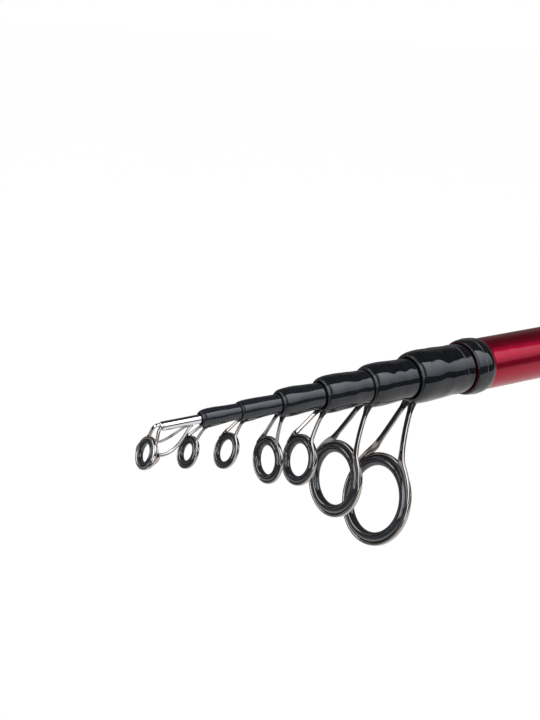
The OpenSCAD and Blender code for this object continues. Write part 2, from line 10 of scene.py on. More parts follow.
import logging
import math
from dataclasses import astuple, dataclass, replace
from enum import Enum
from typing import Iterable, Sequence

import bmesh
import bpy
import numpy as np
from mathutils import Matrix, Vector


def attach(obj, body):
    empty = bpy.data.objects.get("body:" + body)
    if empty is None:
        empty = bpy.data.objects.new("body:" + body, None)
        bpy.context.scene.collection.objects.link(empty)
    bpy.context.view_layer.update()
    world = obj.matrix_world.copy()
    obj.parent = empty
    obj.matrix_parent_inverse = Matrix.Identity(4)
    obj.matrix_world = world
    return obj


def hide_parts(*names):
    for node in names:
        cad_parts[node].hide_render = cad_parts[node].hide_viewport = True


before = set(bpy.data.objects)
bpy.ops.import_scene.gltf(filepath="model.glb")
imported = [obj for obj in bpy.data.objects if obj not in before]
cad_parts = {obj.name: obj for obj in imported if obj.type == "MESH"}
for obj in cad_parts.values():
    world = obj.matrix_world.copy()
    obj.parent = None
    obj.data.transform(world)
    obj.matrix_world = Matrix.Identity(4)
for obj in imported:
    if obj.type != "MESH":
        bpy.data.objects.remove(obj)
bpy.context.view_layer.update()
LOG = logging.getLogger("rod")
MM = 0.001
TIP = 7
AXIS_R = 0.02
SIDEWAYS = np.array([0.0, 1.0, 0.0])
Array = np.ndarray
Triple = tuple[float, float, float]
Socket = bpy.types.NodeSocket
Material = bpy.types.Material
Piece = bpy.types.Object


class Slot(Enum):
    """Material slots of the record that the pieces take their finish from."""

    RED_BLANK = "red_blank"
    BLACK_BLANK = "black_blank"
    LACQUER = "black_lacquer"
    TRIM = "trim_thread"
    STEEL = "guide_steel"
    CHROME = "tip_chrome"
    CERAMIC = "ring_ceramic"
    TURNED = "turned_metal"
    FOAM = "grip_foam"
    SEAT = "seat_plastic"


class End(Enum):
    """How the two open ends of a swept surface are finished."""

    JOINED = "joined"
    CAPPED = "capped"


@dataclass(frozen=True)
class Surface:
    """A grid of points, closed round its second direction.

    Args:
        points: Array of rows x columns x 3, in metres in the row frame.
        end: JOINED wraps the last row to the first, CAPPED closes both ends with a face.
    """

    points: Array
    end: End

    def faces(self, base: int) -> list[tuple[int, ...]]:
        """Corner numbers of the surface's faces.

        Args:
            base: Number of the surface's first vertex in its mesh.

        Returns:
            Quads of neighbouring grid points, and one face for each capped end.
        """
        rows, cols = self.points.shape[:2]
        index = np.arange(rows * cols).reshape(rows, cols) + base
        if self.end is End.JOINED:
            index = np.vstack([index, index[:1]])
        right = np.roll(index, -1, axis=1)
        quads = np.stack([index[:-1], index[1:], right[1:], right[:-1]], axis=-1)
        faces = [tuple(q) for q in quads.reshape(-1, 4).tolist()]
        if self.end is End.CAPPED:
            faces.append(tuple(index[0].tolist()))
            faces.append(tuple(index[-1, ::-1].tolist()))
        return faces


def lay(up: Array, side: Array, station: Array, turn: float = 0.0) -> Array:
    """Points of a section's own frame in the row frame.

    (up, side) is turned about the rod axis by `turn`; then X = -station, Y = side and Z = up.

    Args:
        up: Heights above the rod axis, in mm.
        side: Distances to the side, in mm.
        station: Distances from the butt end, in mm.
        turn: Turn of the section about the rod axis, in degrees.

    Returns:
        Points in metres, with one more axis of length 3.
    """
    c = math.cos(math.radians(turn))
    s = math.sin(math.radians(turn))
    up, side, station = np.broadcast_arrays(up, side, station)
    return np.stack([-station, up * s + side * c, up * c - side * s], axis=-1) * MM


def angles(count: int) -> Array:
    """Evenly spaced angles round a full turn.

    Args:
        count: Number of angles.

    Returns:
        Array of angles in radians.
    """
    return np.linspace(0.0, 2.0 * math.pi, count, endpoint=False)


def smooth(low: float, high: float, value: Array) -> Array:
    """Smooth step 3t^2 - 2t^3 of t = (value - low) / (high - low), held at 0 and 1 outside.

    Args:
        low: Value where the step starts.
        high: Value where it ends.
        value: Values to follow.

    Returns:
        Array of shares from 0 to 1.
    """
    t = np.clip((np.asarray(value, float) - low) / (high - low), 0.0, 1.0)
    return t * t * (3.0 - 2.0 * t)


def arc(
    centre: Sequence[float], radii: Sequence[float], first: float, last: float, count: int = 9
) -> Array:
    """Points of an elliptic arc in (station, radius).

    Args:
        centre: Centre of the ellipse.
        radii: Half axes along the station and along the radius.
        first: Angle of the first point in degrees, 0 towards the tip and 90 away from the axis.
        last: Angle of the last point in degrees.
        count: Number of points.

    Returns:
        Array of count x 2 points.
    """
    a = np.radians(np.linspace(first, last, count))
    return np.stack([centre[0] + radii[0] * np.cos(a), centre[1] + radii[1] * np.sin(a)], axis=1)


def resample(points: Array, step: float) -> Array:
    """Profile with extra points put on its long straight stretches.

    Args:
        points: Array of n x 2 profile points.
        step: Longest distance allowed between two neighbours.

    Returns:
        The same profile with no gap longer than step.
    """
    gaps = np.linalg.norm(np.diff(points, axis=0), axis=1)
    counts = np.maximum(1, np.ceil(gaps / step).astype(int))
    pieces = [np.linspace(a, b, n, endpoint=False) for a, b, n in zip(points[:-1], points[1:], counts)]
    return np.vstack(pieces + [points[-1:]])


def make_piece(name: str, surfaces: Iterable[Surface], material: Material, sharp: float = 40.0) -> Piece:
    """Mesh object from one or more closed surfaces, smooth except at sharp edges.

    Args:
        name: Name of the piece.
        surfaces: Its closed surfaces.
        material: Its finish.
        sharp: Edges that turn by more than this many degrees stay sharp.

    Returns:
        The object, at the origin, with its place in its mesh.
    """
    surfaces = list(surfaces)
    counts = [s.points.shape[0] * s.points.shape[1] for s in surfaces]
    starts = np.concatenate([[0], np.cumsum(counts)[:-1]]).tolist()
    points = np.vstack([s.points.reshape(-1, 3) for s in surfaces])
    faces = [f for s, start in zip(surfaces, starts) for f in s.faces(int(start))]
    mesh = bpy.data.meshes.new(name)
    mesh.from_pydata(points.tolist(), [], faces)
    shell = bmesh.new()
    shell.from_mesh(mesh)
    bmesh.ops.recalc_face_normals(shell, faces=shell.faces)
    shell.to_mesh(mesh)
    shell.free()
    mesh.polygons.foreach_set("use_smooth", np.ones(len(mesh.polygons), bool))
    mesh.set_sharp_from_angle(angle=math.radians(sharp))
    mesh.materials.append(material)
    mesh.update()
    piece = bpy.data.objects.new(name, mesh)
    bpy.context.scene.collection.objects.link(piece)
    return piece


def place(piece: Piece, body: str, slot: Slot, *nodes: str) -> Piece:
    """Puts a piece on its body and hides the solids that it stands for.

    Args:
        piece: The finished piece.
        body: Body that carries it.
        slot: Slot of the record that its finish belongs to; not used.
        nodes: CAD nodes that it replaces.

    Returns:
        The piece.
    """
    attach(piece, body)
    if nodes:
        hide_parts(*nodes)
    LOG.info("%s rides on %s", piece.name, body)
    return piece


class Sketch:
    """Node tree of one material, with short calls for the nodes that the finishes share."""

    def __init__(self, name: str) -> None:
        """Makes the material and keeps its shader and its Object coordinates.

        Args:
            name: Name of the material.
        """
        self.material = bpy.data.materials.new(name)
        self.material.use_nodes = True
        self.tree = self.material.node_tree
        self.shader = self.tree.nodes["Principled BSDF"]
        self.place = self.tree.nodes.new("ShaderNodeTexCoord").outputs["Object"]

    def set(self, **values: float | Sequence[float]) -> None:
        """Sets sockets of the shader, named with _ for a space.

        Args:
            values: Value of each socket.
        """
        for key, value in values.items():
            self.shader.inputs[key.replace("_", " ")].default_value = value

    def link(self, source: Socket, target: str) -> None:
        """Links a socket to one of the shader's.

        Args:
            source: Socket to read.
            target: Name of the shader's socket.
        """
        self.tree.links.new(source, self.shader.inputs[target])

    def stretched(self, scale: Sequence[float]) -> Socket:
        """Object coordinates stretched along the axes.

        Args:
            scale: Factor along X, Y and Z.

        Returns:
            The vector socket.
        """
        node = self.tree.nodes.new("ShaderNodeMapping")
        node.inputs["Scale"].default_value = scale
        self.tree.links.new(self.place, node.inputs["Vector"])
        return node.outputs["Vector"]

    def noise(self, scale: float, detail: float = 3.0, at: Socket | None = None) -> Socket:
        """Noise over the surface.

        Args:
            scale: Features per metre.
            detail: Octaves.
            at: Coordinates, or the Object ones.

        Returns:
            The factor socket.
        """
        node = self.tree.nodes.new("ShaderNodeTexNoise")
        node.inputs["Scale"].default_value = scale
        node.inputs["Detail"].default_value = detail
        self.tree.links.new(at or self.place, node.inputs["Vector"])
        return node.outputs["Fac"]

    def cells(self, scale: float, at: Socket | None = None) -> Socket:
        """Distance to the nearest point of a scattered set.

        Args:
            scale: Points per metre.
            at: Coordinates, or the Object ones.

        Returns:
            The distance socket.
        """
        node = self.tree.nodes.new("ShaderNodeTexVoronoi")
        node.inputs["Scale"].default_value = scale
        self.tree.links.new(at or self.place, node.inputs["Vector"])
        return node.outputs["Distance"]

    def spread(
        self, factor: Socket, low: float, high: float, start: float = 0.3, end: float = 0.7
    ) -> Socket:
        """Factor carried from the range start..end to low..high.

        Args:
            factor: Value to carry.
            low: Result at start.
            high: Result at end.
            start: Lowest value of the factor that counts.
            end: Highest value of the factor that counts.

        Returns:
            The result socket.
        """
        node = self.tree.nodes.new("ShaderNodeMapRange")
        for socket, value in zip(("From Min", "From Max", "To Min", "To Max"), (start, end, low, high)):
            node.inputs[socket].default_value = value
        self.tree.links.new(factor, node.inputs["Value"])
        return node.outputs["Result"]

    def colours(self, factor: Socket, stops: Sequence[tuple[float, Sequence[float]]]) -> Socket:
        """Colour ramp over a factor.

        Args:
            factor: Value that picks the colour.
            stops: Positions with linear colours, from low to high.

        Returns:
            The colour socket.
        """
        node = self.tree.nodes.new("ShaderNodeValToRGB")
        ramp = node.color_ramp
        while len(ramp.elements) < len(stops):
            ramp.elements.new(0.5)
        for element, (at, colour) in zip(ramp.elements, stops):
            element.position = at
            element.color = (*colour, 1.0)
        self.tree.links.new(factor, node.inputs["Fac"])
        return node.outputs["Color"]

    def mottle(self, scale: float, dark: Triple, light: Triple) -> None:
        """Base colour that wanders between two colours.

        Args:
            scale: Patches per metre.
            dark: Linear colour of the low spots.
            light: Linear colour of the high spots.
        """
        self.link(self.colours(self.noise(scale), ((0.3, dark), (0.7, light))), "Base Color")

    def bump(self, height: Socket, strength: float, depth: float) -> None:
        """Small relief from a height.

        Args:
            height: Height socket.
            strength: Share of the relief that is used.
            depth: Depth of the relief in metres.
        """
        node = self.tree.nodes.new("ShaderNodeBump")
        node.inputs["Strength"].default_value = strength
        node.inputs["Distance"].default_value = depth
        self.tree.links.new(height, node.inputs["Height"])
        self.link(node.outputs["Normal"], "Normal")


@dataclass(frozen=True)
class CandyRed:
    """Red metallic paint with fine flakes under clear lacquer."""

    deep: Triple = (0.3, 0.0, 0.014)
    bright: Triple = (0.5, 0.002, 0.035)
    flakes: float = 5200.0

    def material(self) -> Material:
        """Material of the finish.

        Returns:
            The material.
        """
        sketch = Sketch("candy_red")
        flake = sketch.noise(self.flakes, 2.0)
        sketch.link(sketch.colours(flake, ((0.34, self.deep), (0.66, self.bright))), "Base Color")
        sketch.link(sketch.spread(sketch.noise(900.0), 0.3, 0.38), "Roughness")
        sketch.bump(flake, 0.12, 0.00002)
        sketch.set(Metallic=0.92, Coat_Weight=0.38, Coat_Roughness=0.03, Coat_IOR=1.5)
        return sketch.material


@dataclass(frozen=True)
class BlackLacquer:
    """Black thread or black paint under a thick glossy coat."""

    name: str = "black_lacquer"
    dark: Triple = (0.006, 0.0065, 0.0078)
    light: Triple = (0.011, 0.012, 0.0145)
    threads: float = 4200.0
    roughness: tuple[float, float] = (0.05, 0.1)

    def paler(self, gain: float) -> "BlackLacquer":
        """The same finish with its colours raised.

        Args:
            gain: Factor on both colours.

        Returns:
            The paler finish.
        """
        dark, light = (tuple(gain * c for c in colour) for colour in (self.dark, self.light))
        return replace(self, dark=dark, light=light)

    def material(self) -> Material:
        """Material of the finish: faint turns of thread along X, and a slightly uneven gloss.

        Returns:
            The material.
        """
        sketch = Sketch(self.name)
        turns = sketch.noise(1.0, 1.0, sketch.stretched((self.threads, 60.0, 60.0)))
        sketch.link(sketch.colours(turns, ((0.35, self.dark), (0.65, self.light))), "Base Color")
        sketch.link(sketch.spread(sketch.noise(260.0), *self.roughness), "Roughness")
        sketch.bump(sketch.noise(420.0, 1.0), 0.06, 0.0001)
        sketch.set(IOR=1.54)
        return sketch.material


@dataclass(frozen=True)
class RawEdge:
    """Cut and sealed edge of a fibre tube."""

    dark: Triple = (0.016, 0.0162, 0.016)
    light: Triple = (0.028, 0.0282, 0.0275)

    def material(self) -> Material:
        """Material of the finish.

        Returns:
            The material.
        """
        sketch = Sketch("raw_edge")
        sketch.mottle(2600.0, self.dark, self.light)
        sketch.link(sketch.spread(sketch.noise(900.0), 0.16, 0.26), "Roughness")
        sketch.bump(sketch.noise(2600.0), 0.06, 0.00004)
        return sketch.material


@dataclass(frozen=True)
class Metal:
    """Polished, chromed or turned metal with fine marks."""

    name: str
    dark: Triple
    light: Triple
    roughness: tuple[float, float]
    grain: Triple = (1.0, 1.0, 1.0)
    relief: float = 0.05

    def material(self) -> Material:
        """Material of the finish: fine marks, drawn out along one axis where the grain says so.

        Returns:
            The material.
        """
        sketch = Sketch(self.name)
        marks = sketch.noise(2400.0, 3.0, sketch.stretched(self.grain))
        sketch.mottle(330.0, self.dark, self.light)
        sketch.link(sketch.spread(marks, *self.roughness), "Roughness")
        sketch.bump(marks, self.relief, 0.00003)
        sketch.set(Metallic=1.0)
        return sketch.material


@dataclass(frozen=True)
class Ceramic:
    """Polished dark grey ceramic."""

    dark: Triple = (0.016, 0.017, 0.0195)
    light: Triple = (0.028, 0.0295, 0.0335)

    def material(self) -> Material:
        """Material of the finish.

        Returns:
            The material.
        """
        sketch = Sketch("ring_ceramic")
        sketch.mottle(260.0, self.dark, self.light)
        sketch.link(sketch.spread(sketch.noise(200.0), 0.03, 0.06), "Roughness")
        sketch.set(IOR=1.85)
        return sketch.material


@dataclass(frozen=True)
class Soft:
    """Closed-cell foam or soft rubber."""

    name: str
    dark: Triple
    light: Triple
    pores: float
    depth: float
    roughness: tuple[float, float] = (0.62, 0.85)

    def material(self) -> Material:
        """Material of the finish: cells pressed into the surface, and a matt bloom.

        Returns:
            The material.
        """
        sketch = Sketch(self.name)
        cells = sketch.cells(self.pores)
        sketch.mottle(800.0, self.dark, self.light)
        sketch.link(sketch.spread(cells, *self.roughness), "Roughness")
        sketch.bump(cells, 0.5, self.depth)
        sketch.set(Sheen_Weight=0.12, Sheen_Roughness=0.5)
        return sketch.material


@dataclass(frozen=True)
class Moulded:
    """Graphite filled plastic from a fine-grained mould."""

    dark: Triple = (0.014, 0.0145, 0.016)
    light: Triple = (0.03, 0.031, 0.034)

    def material(self) -> Material:
        """Material of the finish.

        Returns:
            The material.
        """
        sketch = Sketch("seat_plastic")
        grain = sketch.noise(3600.0, 2.0)
        sketch.mottle(500.0, self.dark, self.light)
        sketch.link(sketch.spread(grain, 0.3, 0.46), "Roughness")
        sketch.bump(grain, 0.16, 0.00004)
        return sketch.material


@dataclass(frozen=True)
class Finishes:
    """All materials of the rod, made once."""

    red: Material
    lacquer: Material
    coats: tuple[Material, ...]
    blank: Material
    edge: Material
    shaded_red: Material
    steel: Material
    chrome: Material
    trim: Material
    turned: Material
    ceramic: Material
    foam: Material
    rubber: Material
    seat: Material

    @staticmethod
    def make() -> "Finishes":
        """Makes every finish of the rod; the coats of the smaller whippings get paler colours, a painted
        sheen for the lighter reflections on their tops.

        Returns:
            The finishes.
        """
        # Painted sheen: each whipping's lacquer colour is raised towards the tip, standing in for the
        # lighter reflections on the smaller sections' tops.
        paler = (0.85, 0.95, 1.15, 1.5, 1.9, 2.2)
        coats = [BlackLacquer(f"whip_lacquer_{k}").paler(gain) for k, gain in enumerate(paler, 1)]
        # Partly painted shade: the red tube's lacquered lip, its red darkened to the deep maroon that it
        # shows in shade.
        shaded_red = BlackLacquer("shaded_red_edge", (0.022, 0.0012, 0.003), (0.05, 0.003, 0.007), 1800.0)
        steel = Metal("guide_steel", (0.44, 0.41, 0.39), (0.54, 0.5, 0.48), (0.05, 0.1))
        chrome = Metal("tip_chrome", (0.78, 0.77, 0.76), (0.86, 0.86, 0.85), (0.04, 0.09), relief=0.02)
        trim = Metal("trim_thread", (0.1, 0.1, 0.105), (0.34, 0.34, 0.34), (0.3, 0.5))
        lathe = Metal(
            "turned_metal", (0.5, 0.5, 0.51), (0.64, 0.64, 0.65), (0.2, 0.34), (9.0, 0.3, 0.3), 0.2)
        foam = Soft("grip_foam", (0.014, 0.014, 0.015), (0.032, 0.032, 0.034), 1900.0, 0.00012)
        rubber = Soft("soft_rubber", (0.012, 0.012, 0.012), (0.024, 0.024, 0.024), 2600.0, 0.00003)
        return Finishes(
            red=CandyRed().material(),
            lacquer=BlackLacquer().material(),
            coats=tuple(coat.material() for coat in coats),
            blank=BlackLacquer("black_blank", threads=2600.0, roughness=(0.08, 0.14)).material(),
            edge=RawEdge().material(),
            shaded_red=shaded_red.material(),
            steel=steel.material(),
            chrome=chrome.material(),
            trim=trim.material(),
            turned=lathe.material(),
            ceramic=Ceramic().material(),
            foam=foam.material(),
            rubber=rubber.material(),
            seat=Moulded().material(),
        )


@dataclass(frozen=True)
class Ripple:
    """Slow waves that a brushed coat of lacquer dries with.

    Args:
        seed: Picks the waves.
        height: Largest height of the waves, in mm.
        length: Mean wave length along the rod, in mm.
    """

    seed: int
    height: float
    length: float

    def offset(self, station: Array, angle: Array) -> Array:
        """Height of the waves: a mean of cosines of k*station + m*angle + phase.

        Args:
            station: Stations in mm.
            angle: Angles round the rod.

        Returns:
            Heights in mm.
        """
        rng = np.random.default_rng(self.seed)
        count = 14
        k = 2.0 * math.pi / (self.length * rng.uniform(0.7, 2.2, count))
        m = rng.integers(-5, 6, count)
        phase = rng.uniform(0.0, 2.0 * math.pi, count)
        weight = rng.uniform(0.4, 1.0, count)
        station, angle = np.broadcast_arrays(station, angle)
        waves = np.cos(np.multiply.outer(k, station) + np.multiply.outer(m, angle) + phase[:, None, None])
        return self.height * np.tensordot(weight / weight.sum(), waves, axes=1) * 2.0


def turned(profile: Array, sides: int, relief: Array | None = None, turn: float = 0.0) -> Surface:
    """Closed surface of revolution about the rod axis.

    Point (i, j) is at radius r_i plus its relief, at angle 2 pi j / sides; angle 0 is the up side.

    Args:
        profile: Closed loop of (station, radius) points.
        sides: Number of points round the axis.
        relief: Heights added to the radius, rows x sides, or none.
        turn: Turn about the rod axis in degrees.

    Returns:
        The surface.
    """
    angle = angles(sides)
    radius = np.repeat(profile[:, 1:2], sides, axis=1)
    if relief is not None:
        radius = radius + relief
    return Surface(lay(radius * np.cos(angle), radius * np.sin(angle), profile[:, 0:1], turn), End.JOINED)


def tube(first: float, last: float, outer: Sequence[float], wall: float, edge: float = 0.12) -> Array:
    """Closed profile of a tapered tube with broken edges.

    Args:
        first: Station of its back end.
        last: Station of its front end.
        outer: Outer radius at the back and at the front.
        wall: Thickness of its wall.
        edge: Size of the broken edges.

    Returns:
        Profile points (station, radius).
    """
    back, front = outer
    return np.array([
        (first, back - wall + edge), (first, back - edge), (first + edge, back),
        (last - edge, front), (last, front - edge), (last, front - wall + edge),
        (last - edge, front - wall), (first + edge, back - wall),
    ])


@dataclass(frozen=True)
class RodPlan:
    """Sizes of the rod in mm, the same as those of its solids."""

    butt_length: float = 450.0
    butt_front_r: float = 9.25
    butt_rear_r: float = 9.9
    butt_wall: float = 0.85
    bare_at: float = 302.08
    butt_back: float = 10.96
    tail_at: float = 26.3
    reveal: tuple[float, ...] = (23.8, 18.4, 18.2, 15.7, 14.1, 13.1)
    front_r: tuple[float, ...] = (7.75, 6.1, 5.0, 3.7, 2.75, 2.1)
    wall: tuple[float, ...] = (0.75, 0.7, 0.6, 0.55, 0.32, 0.4)
    whip_r: tuple[float, ...] = (8.65, 6.9, 5.75, 4.3, 3.05, 2.55)
    turn: tuple[float, ...] = (0.0, -4.0, 0.0, -5.0, 0.0, 0.0)
    taper_fit: float = 0.06
    seat_fit: float = 0.03
    stop_gap: float = 0.9
    tip_end_r: float = 0.95
    tip_tube_l: float = 14.0
    tip_nose: float = 1.6
    tip_sink: float = 0.7
    collar_trim: float = 3.8
    first_trim: float = 4.3

    def mouth(self, k: int) -> float:
        """Station of the mouth of section k, 0 being the butt tube.

        Args:
            k: Number of the section, 0 for the butt tube.

        Returns:
            The station in mm.
        """
        return self.butt_length + sum(self.reveal[:k])

    def bore(self, k: int) -> float:
        """Radius of the mouth of section k.

        Args:
            k: Number of the section, counted from the butt.

        Returns:
            The radius in mm.
        """
        if k == 0:
            return self.butt_front_r - self.butt_wall
        return self.front_r[k - 1] - self.wall[k - 1]

    def tail_r(self, k: int) -> float:
        """Outer radius of section k at its tail.

        Args:
            k: Number of the section, counted from the butt.

        Returns:
            The radius in mm.
        """
        return self.bore(k - 1) - self.taper_fit

    def nose(self) -> float:
        """Station of the tip tube's nose.

        Returns:
            The station in mm.
        """
        return self.mouth(TIP - 1) - self.tip_sink + self.tip_tube_l

    def blank_r(self, k: int, station: float) -> float:
        """Outer radius of section k at a station, straight from its tail to its end.

        Args:
            k: Number of the section, counted from the butt.
            station: Distance from the butt end in mm.

        Returns:
            The radius in mm.
        """
        end = self.mouth(k) if k < TIP else self.nose() - self.tip_nose
        end_r = self.front_r[k - 1] if k < TIP else self.tip_end_r
        share = (station - self.tail_at) / (end - self.tail_at)
        return self.tail_r(k) + (end_r - self.tail_r(k)) * share


@dataclass(frozen=True)
class Whipping:
    """Lacquered whipping over one mouth, with its swelling over the guide's foot."""

    plan: RodPlan
    k: int
    foot_l: float
    swell: float
    waist: float
    wave_height: float = 0.085
    belly: float = 0.4
    foot_spread: float = 0.44
    lip_l: float = 0.32
    edge_l: float = 0.8
    sides: int = 144

    @property
    def back(self) -> float:
        """Station of its back end, just off the mouth behind it.

        Returns:
            The station in mm.
        """
        return self.plan.mouth(self.k) - self.plan.reveal[self.k - 1] + 0.35 * self.plan.stop_gap

    def profile(self) -> Array:
        """Closed profile: a rounded back, the coat, a long rounding to the lip, and the bore.

        Returns:
            Closed loop of (station, radius) points.
        """
        plan, k = self.plan, self.k
        back, front = self.back, plan.mouth(k)
        coat = plan.whip_r[k - 1]
        inner = plan.blank_r(k, front) + plan.seat_fit
        lip = inner + 0.08 * (coat - inner)
        nose = 1.9 + 0.3 * coat
        heel = 0.8 * (coat - inner)
        bead = 0.6 * (lip - inner)
        rows = [
            arc((back + heel, inner + 0.1), (heel, coat - inner - 0.1), 180.0, 90.0),
            arc((front - nose, lip), (nose, coat - lip), 90.0, 12.0, 13),
            arc((front - bead, lip - bead), (bead, bead), 60.0, 0.0, 5),
            np.array([(front, inner), (back, plan.blank_r(k, back) + plan.seat_fit)]),
        ]
        return resample(np.vstack(rows), 0.35)

    def relief(self, profile: Array) -> Array:
        """Heights over the profile: waves, a slim back, a fuller front, and the swelling over the foot.

        The swelling is A exp(-(angle from the guide side / width)^2) and grows towards the lip.

        Args:
            profile: Points (station, radius) of the coat.

        Returns:
            Array of heights in mm, points by sides.
        """
        plan, k = self.plan, self.k
        angle = angles(self.sides)[None, :]
        station = profile[:, 0:1]
        back, front = self.back, plan.mouth(k)
        coat = plan.whip_r[k - 1]
        on_coat = smooth(plan.front_r[k - 1] + 0.12, coat - 0.1, profile[:, 1:2])
        height = self.wave_height * (coat / plan.whip_r[0]) ** 0.6
        waves = Ripple(40 + k, height, 6.0).offset(station, angle)
        ends = smooth(back + 0.5, back + 2.5, station) * (1.0 - smooth(front - 1.6, front - 0.4, station))
        foot = np.exp(-((angle - math.pi) / self.foot_spread) ** 2)
        growth = smooth(front - self.foot_l - 3.5, front - 2.0, station)
        thick = coat - plan.front_r[k - 1]
        shown = plan.reveal[k - 1]
        slim = 1.0 - smooth(back, back + 0.62 * shown, station)
        belly = np.exp(-((station - front + 0.32 * shown) / (0.3 * shown)) ** 2)
        barrel = thick * (self.belly * belly - self.waist * slim)
        return on_coat * (waves * ends + barrel + self.swell * foot * growth)

    def build(self, finishes: Finishes) -> None:
        """Makes the whipping and the sealed edge of its tube.

        Args:
            finishes: Materials of the rod.
        """
        plan, k = self.plan, self.k
        body = f"section_{k}"
        profile = self.profile()
        coat = turned(profile, self.sides, self.relief(profile), plan.turn[k - 1])
        piece = make_piece(f"whip_coat_{k}", [coat], finishes.coats[k - 1])
        place(piece, body, Slot.LACQUER, f"whipping_{k}")
        front = plan.mouth(k)
        low, high = plan.bore(k), plan.front_r[k - 1]
        middle, half = (high + low) / 2.0 + 0.06, (high - low) / 2.0 + 0.05
        ring = np.vstack([
            arc((front - 0.05, middle), (self.lip_l, half), 90.0, -90.0, 15),
            np.array([(front - self.edge_l, middle - half), (front - self.edge_l, middle + half)]),
        ])
        piece = make_piece(f"mouth_edge_{k}", [turned(ring, 128)], finishes.edge, 60.0)
        place(piece, body, Slot.BLACK_BLANK)


@dataclass(frozen=True)
class Blank:
    """One tapered blank, which shows when the rod is drawn out."""

    plan: RodPlan
    k: int
    sides: int = 72

    def build(self, finishes: Finishes) -> None:
        """Makes the tube, or the solid tip blank, with faint waves in its paint.

        Args:
            finishes: Materials of the rod.
        """
        plan, k = self.plan, self.k
        body = f"section_{k}"
        tail, tail_r, edge = plan.tail_at, plan.tail_r(k), 0.1
        if k == TIP:
            end, end_r = plan.nose() - plan.tip_nose, plan.tip_end_r
            profile = np.array([
                (tail, AXIS_R), (tail, tail_r - edge), (tail + edge, tail_r),
                (end - edge, end_r), (end, end_r - edge), (end, AXIS_R)])
        else:
            end = plan.mouth(k) - 0.06
            profile = tube(tail, end, (tail_r, plan.blank_r(k, end)), plan.wall[k - 1], edge)
        profile = resample(profile, 4.0)
        outer = (profile[:, 1:2] > tail_r * 0.55) & (profile[:, 0:1] > tail + 2.0)
        height = 0.012
        waves = Ripple(70 + k, height, 14.0).offset(profile[:, 0:1], angles(self.sides)[None, :])
        surface = turned(profile, self.sides, np.where(outer, waves - height, 0.0))
        place(make_piece(f"blank_{k}", [surface], finishes.blank), body, Slot.BLACK_BLANK, body)


def bezier(points: Array, count: int) -> Array:
    """Points of a cubic curve (1-t)^3 P0 + 3(1-t)^2 t P1 + 3(1-t) t^2 P2 + t^3 P3.

    Args:
        points: Four control points.
        count: Number of points on the curve.

    Returns:
        Array of count x 3 points.
    """
    t = np.linspace(0.0, 1.0, count)[:, None]
    p = np.asarray(points, float)
    return (1 - t) ** 3 * p[0] + 3 * (1 - t) ** 2 * t * p[1] + 3 * (1 - t) * t * t * p[2] + t ** 3 * p[3]


def rounded(angle: Array, power: float) -> tuple[Array, Array]:
    """Points of the superellipse |a|^p + |b|^p = 1.

    Args:
        angle: Angles round it.
        power: Exponent p.

    Returns:
        The a and the b of each point.
    """
    a, b = np.cos(angle), np.sin(angle)
    return np.sign(a) * np.abs(a) ** (2.0 / power), np.sign(b) * np.abs(b) ** (2.0 / power)


def strip(
    path: Array, flat: Array, width: Array, thick: Array, sides: int = 20, power: float = 4.0
) -> Array:
    """Strip of metal with rounded edges swept along a path.

    The section at each point is a superellipse |a / w|^p + |b / t|^p = 1; a runs across the path in the
    strip's plane and b along its normal, the part of `flat` that is square to the path.

    Args:
        path: Array of n x 3 points.
        flat: Direction that the strip's face looks along, or one for each point.
        width: Width at each point, or one width.
        thick: Thickness at each point, or one thickness.
        sides: Points round the section.
        power: Exponent p of the section.

    Returns:
        Array of n x sides x 3 points in the path's frame.
    """
    along = np.gradient(path, axis=0)
    along /= np.linalg.norm(along, axis=1, keepdims=True)
    across = np.cross(np.broadcast_to(flat, path.shape), along)
    across /= np.linalg.norm(across, axis=1, keepdims=True)
    normal = np.cross(along, across)
    a, b = rounded(angles(sides) + math.pi / sides, power)
    half_w = np.broadcast_to(np.asarray(width, float) / 2.0, len(path))[:, None, None]
    half_t = np.broadcast_to(np.asarray(thick, float) / 2.0, len(path))[:, None, None]
    wide = half_w * a[None, :, None] * across[:, None]
    deep = half_t * b[None, :, None] * normal[:, None]
    return path[:, None] + wide + deep


